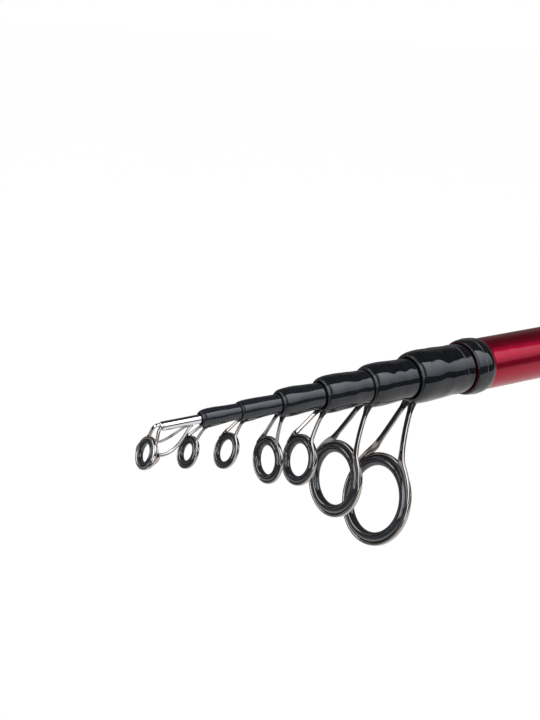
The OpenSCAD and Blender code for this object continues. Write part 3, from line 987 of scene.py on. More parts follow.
@dataclass(frozen=True)
class RingSeat:
    """Place of a line ring in its section's frame, in mm and degrees."""

    station: float
    drop: float
    lean: float
    turn: float

    @property
    def centre(self) -> Array:
        """Centre of the ring.

        Returns:
            The point (up, side, station).
        """
        return np.array([-self.drop, 0.0, self.station])

    @property
    def up(self) -> Array:
        """Direction in the ring's plane towards the rod.

        Returns:
            A unit vector (up, side, station).
        """
        lean = math.radians(self.lean)
        return np.array([math.cos(lean), 0.0, -math.sin(lean)])

    @property
    def axis(self) -> Array:
        """Axis of the ring, towards the tip.

        Returns:
            A unit vector (up, side, station).
        """
        lean = math.radians(self.lean)
        return np.array([math.sin(lean), 0.0, math.cos(lean)])

    def outward(self, angle: Array, side: float = 1.0) -> Array:
        """Directions away from the ring's axis: cos(angle) up + sin(angle) sideways.

        Args:
            angle: Angles from the ring's top.
            side: 1 or -1 for the side of the rod that they turn to.

        Returns:
            Array of n x 3 unit vectors.
        """
        return np.cos(angle)[:, None] * self.up + side * np.sin(angle)[:, None] * SIDEWAYS

    def rim(self, radius: float, angle: float, side: float) -> Array:
        """Point of a circle in the ring's plane.

        Args:
            radius: Radius of the circle.
            angle: Angle in degrees from the ring's top.
            side: 1 or -1 for the side of the rod.

        Returns:
            The point (up, side, station).
        """
        return self.centre + radius * self.outward(np.radians([angle]), side)[0]

    def lay(self, points: Array) -> Array:
        """Points of the section's frame in the row frame.

        Args:
            points: Points (up, side, station) in mm.

        Returns:
            Points in metres.
        """
        return lay(points[..., 0], points[..., 1], points[..., 2], self.turn)

    def torus(self, section: Array, sides: int) -> Surface:
        """Closed ring: a loop carried round the ring's axis.

        Args:
            section: Loop of (radius, height along the axis) points.
            sides: Number of points round the axis.

        Returns:
            The surface.
        """
        out = self.outward(angles(sides))
        points = self.centre + section[:, None, 0:1] * out[None] + section[:, None, 1:2] * self.axis
        return Surface(self.lay(points), End.JOINED)

    def kept_out(self, points: Array, radius: float) -> Array:
        """Points pushed away from the ring's axis until none is nearer than a radius.

        Args:
            points: Points (up, side, station).
            radius: Least distance from the axis.

        Returns:
            The points, moved where they were too near.
        """
        from_centre = points - self.centre
        height = from_centre @ self.axis
        flat = from_centre - height[..., None] * self.axis
        reach = np.linalg.norm(flat, axis=-1, keepdims=True)
        flat = flat * np.maximum(reach, radius) / reach
        return self.centre + flat + height[..., None] * self.axis


def oval(middle: float, half_r: float, half_t: float, power: float, count: int) -> Array:
    """Loop of (radius, height) points |r / half_r|^p + |h / half_t|^p = 1 about a middle radius.

    Args:
        middle: Middle radius.
        half_r: Half of the width along the radius.
        half_t: Half of the thickness along the axis.
        power: Exponent p.
        count: Number of points.

    Returns:
        Array of n x 2 points.
    """
    r, h = rounded(angles(count), power)
    return np.stack([middle + half_r * r, half_t * h], axis=1)


@dataclass(frozen=True)
class Guide:
    """Line guide of one section: bent frame, ceramic ring and the lacquer that runs on to its legs.

    The flare is the widening of a leg at the ring's shoulder and the taper its narrowing along the rim,
    both as shares of its width. The tilt turns its face up from the ring's axis.
    """

    k: int
    seat: RingSeat
    od: float
    hole: float
    band: float
    band_t: float
    ceramic_t: float
    leg_w: float
    leg_t: float
    root: Triple
    land: Triple
    tube_r: float
    tangent: float = 70.0
    root_sink: float = 1.2
    bow: float = 0.026
    flare: float = 0.35
    taper: float = 0.75
    tilt: float = 0.12
    straight_points: int = 34
    bend_points: int = 22
    cuff_points: int = 10
    cuff_growth: float = 1.5
    sides: int = 128

    def leg_path(self, side: float) -> Array:
        """Middle line of a leg: straight from its root to the shoulder, then a curve along the rim.

        Args:
            side: 1 or -1 for the side of the rod.

        Returns:
            Array of points (up, side, station).
        """
        mirror = np.array([1.0, side, 1.0])
        middle = (self.od - self.band) / 2.0
        start = np.array(self.root) * mirror
        far, shoulder, ahead = self.land
        land = self.seat.rim(far * middle, shoulder, side) + ahead * self.seat.axis
        along = (land - start) / np.linalg.norm(land - start)
        start = start - self.root_sink * self.leg_t * along
        t = np.linspace(0.0, 1.0, self.straight_points)[:, None]
        bow = self.bow * middle * np.array([0.0, -1.0, 1.0]) * mirror
        straight = start + (land - start) * t + 4.0 * t * (1.0 - t) * bow
        along = (straight[-1] - straight[-2]) / np.linalg.norm(straight[-1] - straight[-2])
        end = self.seat.rim(middle, self.tangent, side) + 0.35 * self.band_t * self.seat.axis
        a = math.radians(self.tangent)
        swing = -math.sin(a) * self.seat.up + side * math.cos(a) * SIDEWAYS
        run = np.linalg.norm(end - land)
        handles = np.array([land, land + 0.25 * run * along, end - 0.55 * run * swing, end])
        return np.vstack([straight, bezier(handles, self.bend_points)[1:]])

    def legs(self) -> list[Surface]:
        """Both legs, their ends spread along the rim and kept out of the ceramic ring.

        Returns:
            Two surfaces.
        """
        made = []
        for side in (-1.0, 1.0):
            path = self.leg_path(side)
            share = np.linspace(0.0, 1.0, len(path))
            spread = self.flare * smooth(0.5, 0.66, share) - self.taper * smooth(0.7, 1.0, share)
            facing = self.seat.axis + self.tilt * self.seat.up
            points = strip(path, facing, self.leg_w * (1.0 + spread), self.leg_t)
            points = self.seat.kept_out(points, self.od / 2.0 - 0.75 * self.band)
            made.append(Surface(self.seat.lay(points), End.CAPPED))
        return made

    def cuffs(self) -> list[Surface]:
        """Lacquer that runs a little way down each leg, kept out of the section's bore.

        Returns:
            Two surfaces.
        """
        made = []
        for side in (-1.0, 1.0):
            path = self.leg_path(side)[:self.cuff_points]
            share = np.linspace(0.0, 1.0, len(path))
            extra = self.cuff_growth * self.leg_t * (1.0 - share) ** 1.5 + 0.02
            points = strip(path, self.seat.axis, self.leg_w + extra, self.leg_t + extra, power=2.6)
            reach = np.hypot(points[..., 0], points[..., 1])
            points[..., :2] *= (np.maximum(reach, self.tube_r) / reach)[..., None]
            made.append(Surface(self.seat.lay(points), End.CAPPED))
        return made

    def build(self, finishes: Finishes) -> None:
        """Makes the frame, the ceramic ring and the cuffs.

        Args:
            finishes: Materials of the rod.
        """
        k, body = self.k, f"section_{self.k}"
        outer = self.od / 2.0
        rim = oval(outer - self.band / 2.0, self.band / 2.0, 0.42 * self.band_t, 3.0, 32)
        frame_parts = [self.seat.torus(rim, self.sides), *self.legs()]
        piece = make_piece(f"guide_strip_{k}", frame_parts, finishes.steel)
        place(piece, body, Slot.STEEL, f"guide_frame_{k}")
        low, high = self.hole / 2.0, outer - self.band
        ceramic = oval((low + high) / 2.0, (high - low) / 2.0, self.ceramic_t / 2.0, 2.0, 40)
        piece = make_piece(f"line_ring_{k}", [self.seat.torus(ceramic, self.sides)], finishes.ceramic)
        place(piece, body, Slot.CERAMIC, f"guide_ring_{k}")
        place(make_piece(f"leg_cuff_{k}", self.cuffs(), finishes.lacquer), body, Slot.LACQUER)


@dataclass(frozen=True)
class Wire:
    """Bent wire of the tip guide, given for its +side twin.

    Args:
        leave: Way from its start to the curve's first handle, in mm.
        reach: Way from its end to the curve's second handle, in mm.
        width: Width at its start and at its end, in mm.
        count: Number of points along it.
        power: Exponent of its section.
    """

    leave: Triple
    reach: Triple
    width: tuple[float, float]
    count: int
    power: float


@dataclass(frozen=True)
class TipGuide:
    """Tip tube with its ring, arms and braces."""

    plan: RodPlan
    seat: RingSeat
    tube_r: float = 1.4
    blank_r: float = 0.98
    edge: float = 0.12
    dome: float = 0.9
    od: float = 9.9
    hole: float = 5.4
    band: float = 0.7
    face: float = 1.25
    band_t: float = 1.4
    ceramic_t: float = 2.1
    wire_t: float = 0.7
    arm_back: float = 0.93
    brace_back: float = 9.4
    crown: float = 33.0
    lobe: float = 72.0
    arm: Wire = Wire((1.4, 1.47, 2.6), (0.27, -0.25, -1.07), (0.95, 1.25), 26, 4.0)
    brace: Wire = Wire((-2.4, 1.96, 3.3), (-2.7, -0.94, -6.3), (0.8, 1.05), 40, 2.6)
    bump_span: tuple[float, float] = (76.0, 118.0)
    fin_span: tuple[float, float] = (38.0, 130.0)
    fin_w: tuple[float, float] = (0.45, 1.1)
    fin_t: float = 0.6
    ear_points: int = 21
    weld_points: int = 9
    sides: int = 96

    def tube_profile(self) -> Array:
        """Profile of the tube: a rounded back edge, a straight side and a domed nose.

        Returns:
            Closed loop of (station, radius) points.
        """
        nose = self.plan.nose()
        back = nose - self.plan.tip_tube_l
        r, edge, dome = self.tube_r, self.edge, self.dome
        rows = [
            np.array([(back, self.blank_r), (back, r - edge)]),
            arc((back + edge, r - edge), (edge, edge), 180.0, 90.0, 5),
            arc((nose - dome, r - dome), (dome, dome), 90.0, 8.0, 12),
            np.array([(nose, AXIS_R), (nose - 1.2, AXIS_R), (nose - 1.62, self.blank_r - 0.01)]),
        ]
        return resample(np.vstack(rows), 0.5)

    def bent(self, wire: Wire, start: Array, end: Array, flat: Array, side: float) -> Surface:
        """Wire swept along a cubic curve and kept out of the ceramic ring.

        Args:
            wire: Its handles and section.
            start: First point (up, side, station).
            end: Last point.
            flat: Direction that its face looks along.
            side: 1 or -1 for the side of the rod.

        Returns:
            The surface.
        """
        mirror = np.array([1.0, side, 1.0])
        handles = np.array([start, start + mirror * wire.leave, end + mirror * wire.reach, end])
        width = np.linspace(*wire.width, wire.count)
        points = strip(bezier(handles, wire.count), flat, width, self.wire_t, power=wire.power)
        points = self.seat.kept_out(points, self.od / 2.0 - 0.8 * self.band)
        return Surface(self.seat.lay(points), End.CAPPED)

    def wires(self) -> list[Surface]:
        """Arms from the nose to the ring's crown and braces from under the tube to the ring's sides.

        Returns:
            Four surfaces.
        """
        middle = (self.od - self.band) / 2.0
        nose = self.plan.nose()
        made = []
        for side in (-1.0, 1.0):
            start = np.array([-0.1, 0.27 * side, nose - self.arm_back])
            crown = self.seat.rim(middle, self.crown, side)
            made.append(self.bent(self.arm, start, crown, self.seat.axis, side))
            weld = np.array([-self.tube_r - 0.15, 0.6 * side, nose - self.brace_back])
            lobe = self.seat.rim(middle, self.lobe, side)
            made.append(self.bent(self.brace, weld, lobe, np.array([0.6, side, 0.1]), side))
        return made

    def ears(self) -> list[Surface]:
        """Ears on the ring's sides where the braces end: an outer bump, and a fin back to the brace.

        Both follow the rim. Their widths are half sine waves of the way along it, the fin's to a power.

        Returns:
            Four surfaces.
        """
        made = []
        outer = self.od / 2.0
        count = self.ear_points
        wave = np.sin(np.linspace(0.0, math.pi, count))
        for side in (-1.0, 1.0):
            out = self.seat.outward(np.radians(np.linspace(*self.bump_span, count)), side)
            path = self.seat.centre + (outer + 0.05) * out
            girth = 0.12 + 0.88 * wave
            thick = self.band_t * (0.35 + 0.4 * girth)
            points = strip(path, self.seat.axis, 1.1 * girth, thick, power=2.3)
            points = self.seat.kept_out(points, outer - self.face + 0.1)
            made.append(Surface(self.seat.lay(points), End.CAPPED))
            out = self.seat.outward(np.radians(np.linspace(*self.fin_span, count)), side)
            width = self.fin_w[0] + self.fin_w[1] * wave ** 4
            back = self.band_t / 2.0 - 0.4 + width / 2.0
            path = self.seat.centre + (outer - 0.32) * out - back[:, None] * self.seat.axis
            made.append(Surface(self.seat.lay(strip(path, out, width, self.fin_t)), End.CAPPED))
        return made

    def weld(self) -> Surface:
        """Weld under the tube where the braces start, its girth sqrt(1 - t^2) along it.

        Returns:
            The surface.
        """
        count = self.weld_points
        station = self.plan.nose() - self.brace_back + np.linspace(-1.3, 1.1, count)
        path = np.stack([np.full(count, -self.tube_r - 0.12), np.zeros(count), station], axis=1)
        girth = np.sqrt(np.clip(1.0 - np.linspace(-1.0, 1.0, count) ** 2, 0.06, 1.0))
        points = strip(path, np.array([1.0, 0.0, 0.0]), 2.2 * girth, 0.8 * girth, power=2.4)
        return Surface(self.seat.lay(points), End.CAPPED)

    def build(self, finishes: Finishes) -> None:
        """Makes the tube, the frame with its weld, and the ceramic ring.

        Args:
            finishes: Materials of the rod.
        """
        body = f"section_{TIP}"
        piece = make_piece("tip_sleeve", [turned(self.tube_profile(), 64)], finishes.chrome)
        place(piece, body, Slot.CHROME, "tip_tube")
        outer = self.od / 2.0
        rim = oval(outer - self.face / 2.0, self.face / 2.0, self.band_t / 2.0, 2.5, 32)
        parts = [self.seat.torus(rim, self.sides), *self.wires(), *self.ears(), self.weld()]
        place(make_piece("tip_strip", parts, finishes.steel), body, Slot.STEEL, "tip_frame")
        low, high = self.hole / 2.0, outer - self.face + 0.05
        ceramic = oval((low + high) / 2.0, (high - low) / 2.0, self.ceramic_t / 2.0, 2.0, 32)
        piece = make_piece("tip_line_ring", [self.seat.torus(ceramic, self.sides)], finishes.ceramic)
        place(piece, body, Slot.CERAMIC, "tip_ring")


@dataclass(frozen=True)
class TrimThread:
    """Thin twisted metallic thread laid round a whipping."""

    name: str
    body: str
    node: str
    station: float
    radius: float
    thread_r: float = 0.13
    twists: int = 60

    def build(self, finishes: Finishes) -> None:
        """Makes two thin strands that twist round each other along the circle.

        Args:
            finishes: Materials of the rod.
        """
        angle, section = angles(720), angles(8)
        coil, strand = 0.45 * self.thread_r, 0.55 * self.thread_r
        made = []
        for phase in (0.0, math.pi):
            twist = self.twists * angle / 2.0 + phase
            radius = self.radius + coil * np.cos(twist)[:, None] + strand * np.cos(section)
            station = self.station + coil * np.sin(twist)[:, None] + strand * np.sin(section)
            points = lay(radius * np.cos(angle)[:, None], radius * np.sin(angle)[:, None], station)
            made.append(Surface(points, End.JOINED))
        place(make_piece(self.name, made, finishes.trim), self.body, Slot.TRIM, self.node)


@dataclass(frozen=True)
class ButtTube:
    """Red butt tube with the whipping at its mouth."""

    plan: RodPlan
    collar_r: float = 10.0
    collar_l: float = 7.2
    collar_rear: float = 2.6
    collar_nose: float = 3.6
    setback: float = 0.12
    fine_l: float = 12.0
    sides: int = 192

    def build(self, finishes: Finishes) -> None:
        """Makes the tube with faint waves in its paint, its cut edge and its whipping.

        Args:
            finishes: Materials of the rod.
        """
        plan = self.plan
        first, last = plan.butt_back, plan.butt_length
        cut = last - 0.4
        rear, front, wall = plan.butt_rear_r, plan.butt_front_r, plan.butt_wall
        edge = 0.18
        loop = np.array([
            (first, rear - wall + edge), (first, rear - edge), (first + edge, rear), (plan.bare_at, rear),
            (cut - self.fine_l, self.tube_r(cut - self.fine_l)), (cut - edge, front), (cut, front - edge),
            (cut, front - wall + edge), (cut - edge, front - wall),
            (plan.bare_at, rear - wall), (first + edge, rear - wall)])
        profile = np.vstack([
            resample(loop[:4], 6.0)[:-1], resample(loop[3:5], 1.2)[:-1], resample(loop[4:6], 0.25)[:-1],
            resample(loop[5:], 8.0)])
        angle = angles(self.sides)[None, :]
        station = profile[:, 0:1]
        waves = Ripple(7, 0.02, 9.0).offset(station, angle)
        outside = profile[:, 1:2] > front - 0.01
        shown = smooth(plan.bare_at + 4.0, plan.bare_at + 14.0, station) * outside
        heel = last - self.setback - self.collar_l - 0.45
        bead = 0.16 * np.exp(-((station - heel) / 0.42) ** 2) * outside
        surface = turned(profile, self.sides, (waves - 0.012) * shown + bead)
        place(make_piece("red_tube", [surface], finishes.red), "butt", Slot.RED_BLANK, "butt_tube")
        self.collar(finishes)

    def tube_r(self, station: float) -> float:
        """Outer radius of the tapered tube at a station.

        Args:
            station: Distance from the butt end in mm.

        Returns:
            The radius in mm.
        """
        plan = self.plan
        share = (station - plan.bare_at) / (plan.butt_length - plan.bare_at)
        return plan.butt_rear_r + (plan.butt_front_r - plan.butt_rear_r) * share

    def collar(self, finishes: Finishes) -> None:
        """Makes the whipping: a steep back, a full round coat and a long rounding to the mouth.

        Args:
            finishes: Materials of the rod.
        """
        front = self.plan.butt_length - self.setback
        back = front - self.collar_l - 0.35
        low_f, low_b = self.tube_r(front) + 0.03, self.tube_r(back) + 0.03
        top, rear, nose = self.collar_r, self.collar_rear, self.collar_nose
        rows = [
            arc((back + rear, low_b + 0.06), (rear, top - low_b - 0.06), 180.0, 90.0, 17),
            arc((front - nose, low_f + 0.05), (nose, top - low_f - 0.05), 90.0, 0.0, 21),
            np.array([(front, low_f), (back, low_b)]),
        ]
        profile = resample(np.vstack(rows), 0.3)
        station = profile[:, 0:1]
        on_coat = smooth(low_f + 0.05, top - 0.1, profile[:, 1:2])
        waves = Ripple(23, 0.022, 4.2).offset(station, angles(self.sides)[None, :])
        surface = turned(profile, self.sides, on_coat * (waves - 0.01))
        piece = make_piece("collar_coat", [surface], finishes.lacquer)
        place(piece, "butt", Slot.LACQUER, "butt_whipping")
        # Lip ring at the mouth: the tube's red lacquer, darkened as painted shade.
        low, high = self.plan.bore(0) + 0.02, self.plan.butt_front_r + 0.02
        last = self.plan.butt_length
        rows = [
            arc((last - 0.3, (low + high) / 2.0), (0.3, (high - low) / 2.0), 90.0, -90.0, 17),
            np.array([(last - 1.0, low), (last - 1.0, high)]),
        ]
        lip = turned(np.vstack(rows), self.sides)
        place(make_piece("mouth_lip", [lip], finishes.shaded_red, 60.0), "butt", Slot.RED_BLANK)


@dataclass(frozen=True)
class Handle:
    """Grips, reel seat, lock nut and butt cap, in mm from the butt end."""

    grip_at: float = 10.99
    grip_l: float = 110.0
    grip_r: float = 13.5
    grip_edge: float = 2.5
    bore_r: float = 9.93
    seat_at: float = 121.02
    seat_l: float = 118.0
    fore_at: float = 239.05
    fore_l: float = 58.0
    fore_front_r: float = 11.5
    fore_edge: float = 1.6
    check_at: float = 297.08
    check_l: float = 5.0
    check_r: float = 11.0
    nut_at: float = 127.02
    nut_l: float = 11.0
    nut_r: float = 13.7
    nut_edge: float = 0.9
    nut_flutes: int = 14
    nut_dip: float = 0.62
    barrel_r: float = 11.5
    barrel_l: float = 62.0
    pitch: float = 2.0
    thread_cut: float = 0.55
    saddle_r: float = 12.5
    saddle_ramp: float = 3.0
    flat_at: float = 11.6
    hood_l: float = 24.0
    cap_r: float = 13.0
    cap_head: float = 10.0
    cap_edge: float = 2.5
    cap_flutes: int = 16
    cap_dip: float = 0.55
    plug_r: float = 7.5
    plug_l: float = 14.0
    seal_r: float = 8.7
    seal_groove: float = 0.83
    cup_r: float = 6.62
    cup_depth: float = 2.3
    seat_sides: int = 144

    def grips(self, finishes: Finishes) -> None:
        """Makes both foam grips with full round edges and a slightly swollen hold.

        Args:
            finishes: Materials of the rod.
        """
        back, front, low = self.grip_at, self.grip_at + self.grip_l, self.bore_r
        edge, side = self.grip_edge, self.grip_r - self.grip_edge
        rows = [
            np.array([(back, low), (back, side)]),
            arc((back + edge, side), (edge, edge), 180.0, 90.0, 13),
            arc((front - edge, side), (edge, edge), 90.0, 0.0, 13),
            np.array([(front, low), (back, low)]),
        ]
        surface = turned(resample(np.vstack(rows), 2.0), 112)
        place(make_piece("rear_foam", [surface], finishes.foam), "butt", Slot.FOAM, "rear_grip")
        back, front, edge = self.fore_at, self.fore_at + self.fore_l, self.fore_edge
        station = np.linspace(back + edge, front - edge, 40)
        share = smooth(back + 0.25 * self.fore_l, front, station)
        side = np.stack([station, self.grip_r + (self.fore_front_r - self.grip_r) * share], axis=1)
        rows = [
            np.array([(back, low), (back, self.grip_r - edge)]),
            arc((back + edge, self.grip_r - edge), (edge, edge), 180.0, 100.0, 9),
            side,
            arc((front - edge, self.fore_front_r - edge), (edge, edge), 80.0, 0.0, 9),
            np.array([(front, low), (back, low)]),
        ]
        surface = turned(resample(np.vstack(rows), 2.0), 112)
        place(make_piece("fore_foam", [surface], finishes.foam), "butt", Slot.FOAM, "fore_grip")

    def check(self, finishes: Finishes) -> None:
        """Makes the turned ring in front of the fore grip, with a groove and a hollow cone.

        Args:
            finishes: Materials of the rod.
        """
        back, front, top, low = self.check_at, self.check_at + self.check_l, self.check_r, self.bore_r
        rows = [
            np.array([(back, low), (back, top - 0.3)]),
            arc((back + 0.3, top - 0.3), (0.3, 0.3), 180.0, 90.0, 6),
            np.array([(back + 0.9, top), (back + 1.0, top - 0.15)]),
            np.array([(back + 1.2, top - 0.15), (back + 1.3, top)]),
            arc((back + 1.9, top - 0.35), (0.35, 0.35), 90.0, 10.0, 7),
            arc((front + 0.1, top + 0.2), (2.4, top - low - 0.1), 215.0, 262.0, 11),
            np.array([(front, low + 0.25), (front, low), (back, low)]),
        ]
        surface = turned(resample(np.vstack(rows), 0.4), 128)
        place(make_piece("check_ring", [surface], finishes.turned), "butt", Slot.TURNED, "winding_check")

    def nut(self, finishes: Finishes) -> None:
        """Makes the lock nut: radius less d*max(0, cos(n*angle))^3 where the finger flutes run.

        Args:
            finishes: Materials of the rod.
        """
        back, front, top = self.nut_at, self.nut_at + self.nut_l, self.nut_r
        low, edge = self.barrel_r + 0.09, self.nut_edge
        rows = [
            np.array([(back, low), (back, top - edge)]),
            arc((back + edge, top - edge), (edge, edge), 180.0, 90.0, 9),
            arc((front - edge, top - edge), (edge, edge), 90.0, 0.0, 9),
            np.array([(front, low), (back, low)]),
        ]
        profile = resample(np.vstack(rows), 0.6)
        sides = 20 * self.nut_flutes
        dip = self.nut_dip * np.maximum(0.0, np.cos(self.nut_flutes * angles(sides)[None, :])) ** 3
        relief = -dip * smooth(low + 0.2, top - 0.5, profile[:, 1:2])
        surface = turned(profile, sides, relief)
        place(make_piece("nut_ring", [surface], finishes.turned), "nut", Slot.TURNED, "lock_nut")

    def cap(self, finishes: Finishes) -> None:
        """Makes the screw cap: a fluted head with a round end, the seal's groove and a hollow plug.

        Args:
            finishes: Materials of the rod.
        """
        top, head, plug, edge = self.cap_r, self.cap_head, self.plug_r, 0.3
        seal, groove, cup, tail = self.seal_r, self.seal_groove, self.cup_r, self.cap_head + self.plug_l
        end = self.cap_edge
        rows = [
            np.array([(0.0, AXIS_R), (0.0, top - end)]),
            arc((end, top - end), (end, end), 180.0, 90.0, 13),
            np.array([(head - edge, top), (head, top - edge), (head, seal + groove)]),
            np.array([(head - groove, seal), (head, seal - groove), (head, plug)]),
            np.array([(tail - edge, plug), (tail, plug - edge), (tail, cup)]),
            np.array([(tail - self.cup_depth, cup - 0.03), (tail - self.cup_depth, AXIS_R)]),
        ]
        profile = resample(np.vstack(rows), 0.7)
        sides = 20 * self.cap_flutes
        dip = self.cap_dip * np.maximum(0.0, np.cos(self.cap_flutes * angles(sides)[None, :])) ** 3
        flutes = dip * smooth(top - 2.0, top - 0.4, profile[:, 1:2])
        surface = turned(profile, sides, -flutes)
        place(make_piece("cap_knob", [surface], finishes.seat), "cap", Slot.SEAT, "butt_cap")

    def seat(self, finishes: Finishes) -> None:
        """Makes the reel seat: a threaded barrel, a ramp and a saddle with a flat under it.

        The thread takes d*((1 - cos(2 pi station / pitch - angle)) / 2)^1.4 off the barrel. The flat
        keeps each radius below f / -cos(angle) on the guide side.

        Args:
            finishes: Materials of the rod.
        """
        back, front, ramp = self.seat_at, self.seat_at + self.seat_l, self.saddle_ramp
        thread, saddle, hood = back + ramp, back + self.barrel_l, front - self.hood_l - 0.03
        low, mid, top, edge = self.bore_r, self.barrel_r, self.saddle_r, 0.4
        rows = [
            np.array([(back, low), (back, top - edge)]),
            arc((back + edge, top - edge), (edge, edge), 180.0, 90.0, 7),
            np.array([(thread - 0.3, top), (thread, top - 0.3), (thread, mid)]),
            np.array([(saddle, mid), (saddle + ramp, top)]),
            np.array([(hood, top), (hood, mid), (front, mid), (front, low), (back, low)]),
        ]
        loop = np.vstack(rows)
        profile = np.vstack([
            loop[:11], resample(loop[11:13], 0.25)[:-1], resample(loop[12:18], 0.5)[:-1],
            resample(loop[17:], 8.0)[:-1]])
        angle = angles(self.seat_sides)[None, :]
        station, radius = profile[:, 0:1], profile[:, 1:2]
        wave = (0.5 - 0.5 * np.cos(2.0 * math.pi * station / self.pitch - angle)) ** 1.4
        runs_in = smooth(thread + 0.2, thread + 1.6, station)
        runs_out = 1.0 - smooth(saddle - 3.0, saddle - 1.0, station)
        relief = -self.thread_cut * wave * runs_in * runs_out * (np.abs(radius - mid) < 0.01)
        limit = self.flat_at / np.maximum(-np.cos(angle), 0.05)
        flat = np.minimum(0.0, limit - radius) * (station > saddle - ramp) * (radius > mid + 0.02)
        surface = turned(profile, self.seat_sides, relief + flat)
        place(make_piece("seat_shell", [surface], finishes.seat, 30.0), "butt", Slot.SEAT, "seat_body")

    def build(self, finishes: Finishes) -> None:
        """Makes every piece of the handle and finishes the solids that stay.

        Args:
            finishes: Materials of the rod.
        """
        self.grips(finishes)
        self.check(finishes)
        self.nut(finishes)
        self.cap(finishes)
        self.seat(finishes)
        kept = {
            "fixed_hood": finishes.seat, "sliding_hood": finishes.seat,
            "butt_socket": finishes.turned, "cap_seal": finishes.rubber, "cushion": finishes.rubber,
        }
        for node, material in kept.items():
            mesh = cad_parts[node].data
            mesh.materials.clear()
            mesh.materials.append(material)
            LOG.info("%s keeps its solid", node)


@dataclass(frozen=True)
class Step:
    """Smooth step between two levels of light.

    Args:
        first: Where the step starts.
        last: Where it ends.
        low: Level up to the start.
        high: Level from the end on.
    """

    first: float
    last: float
    low: float
    high: float


@dataclass(frozen=True)
class Card:
    """Pale card that only reflections see, by the direction (x, y, z) that they look in.

    Args:
        along: Step over x, which also sets the card's brightness.
        across: Step over y.
        bottom: Step over z at its lower edge.
        top: Step over z at its upper edge.
    """

    along: Step
    across: Step
    bottom: Step
    top: Step


class StageTree:
    """Node tree of the floor, the soft box or the surroundings, with short calls for its sums."""

    def __init__(self, tree: bpy.types.NodeTree, coordinates: str) -> None:
        """Empties the tree and keeps its light path and its X, Y and Z.

        Args:
            tree: Tree of a stage material or of the world.
            coordinates: Output of the coordinate node that X, Y and Z are read from.
        """
        tree.nodes.clear()
        self.tree = tree
        self.ray = tree.nodes.new("ShaderNodeLightPath").outputs
        split = tree.nodes.new("ShaderNodeSeparateXYZ")
        tree.links.new(tree.nodes.new("ShaderNodeTexCoord").outputs[coordinates], split.inputs[0])
        self.axis = split.outputs

    def feed(self, socket: Socket, value: Socket | float) -> None:
        """Gives an input a number or another node's result.

        Args:
            socket: Input to set.
            value: Number or output.
        """
        if isinstance(value, Socket):
            self.tree.links.new(value, socket)
        else:
            socket.default_value = value

    def ramp(self, value: Socket, step: Step) -> Socket:
        """Smooth step that follows a value.

        Args:
            value: Value to follow.
            step: Where it starts and ends, and between which levels.

        Returns:
            The result socket.
        """
        node = self.tree.nodes.new("ShaderNodeMapRange")
        node.interpolation_type = "SMOOTHSTEP"
        self.feed(node.inputs["Value"], value)
        for socket, number in zip(("From Min", "From Max", "To Min", "To Max"), astuple(step)):
            node.inputs[socket].default_value = number
        return node.outputs["Result"]

    def window(self, *edges: tuple[Socket, Step]) -> Socket:
        """Product of smooth steps.

        Args:
            edges: Values with the steps that follow them.

        Returns:
            The result socket.
        """
        return self.math("MULTIPLY", *(self.ramp(value, step) for value, step in edges))

    def math(self, operation: str, *values: Socket | float) -> Socket:
        """Carries one operation through a row of values.

        Args:
            operation: Name of the operation, such as ADD or MULTIPLY.
            values: Numbers or sockets.

        Returns:
            The result socket.
        """
        total = values[0]
        for value in values[1:]:
            node = self.tree.nodes.new("ShaderNodeMath")
            node.operation = operation
            self.feed(node.inputs[0], total)
            self.feed(node.inputs[1], value)
            total = node.outputs[0]
        return total

    def choose(self, factor: Socket, no: Socket | float, yes: Socket | float) -> Socket:
        """Mix of two values.

        Args:
            factor: 0 for the first value, 1 for the second.
            no: First value.
            yes: Second value.

        Returns:
            The result socket.
        """
        node = self.tree.nodes.new("ShaderNodeMix")
        node.data_type = "FLOAT"
        self.feed(node.inputs["Factor"], factor)
        self.feed(node.inputs["A"], no)
        self.feed(node.inputs["B"], yes)
        return node.outputs["Result"]

    def seen(self, *more: str) -> Socket:
        """1 for rays from the camera or through glass, and for the other kinds that are named.

        Args:
            more: Names of further light path outputs.

        Returns:
            The factor socket.
        """
        kinds = ("Is Camera Ray", "Is Transmission Ray", *more)
        return self.math("MAXIMUM", *(self.ray[kind] for kind in kinds))

    def shader(
        self, kind: str, colour: Sequence[float], strength: Socket | None = None
    ) -> bpy.types.Node:
        """Shader node of the stage.

        Args:
            kind: Type of the node.
            colour: Linear colour.
            strength: Brightness, or none for a shader that gives no light.

        Returns:
            The node.
        """
        node = self.tree.nodes.new(kind)
        node.inputs["Color"].default_value = (*colour, 1.0)
        if strength is not None:
            self.feed(node.inputs["Strength"], strength)
        return node

    def finish(self, kind: str, shader: bpy.types.Node) -> None:
        """Links the last shader to the tree's output.

        Args:
            kind: Type of the output node.
            shader: Last shader of the tree.
        """
        self.tree.links.new(shader.outputs[0], self.tree.nodes.new(kind).inputs["Surface"])


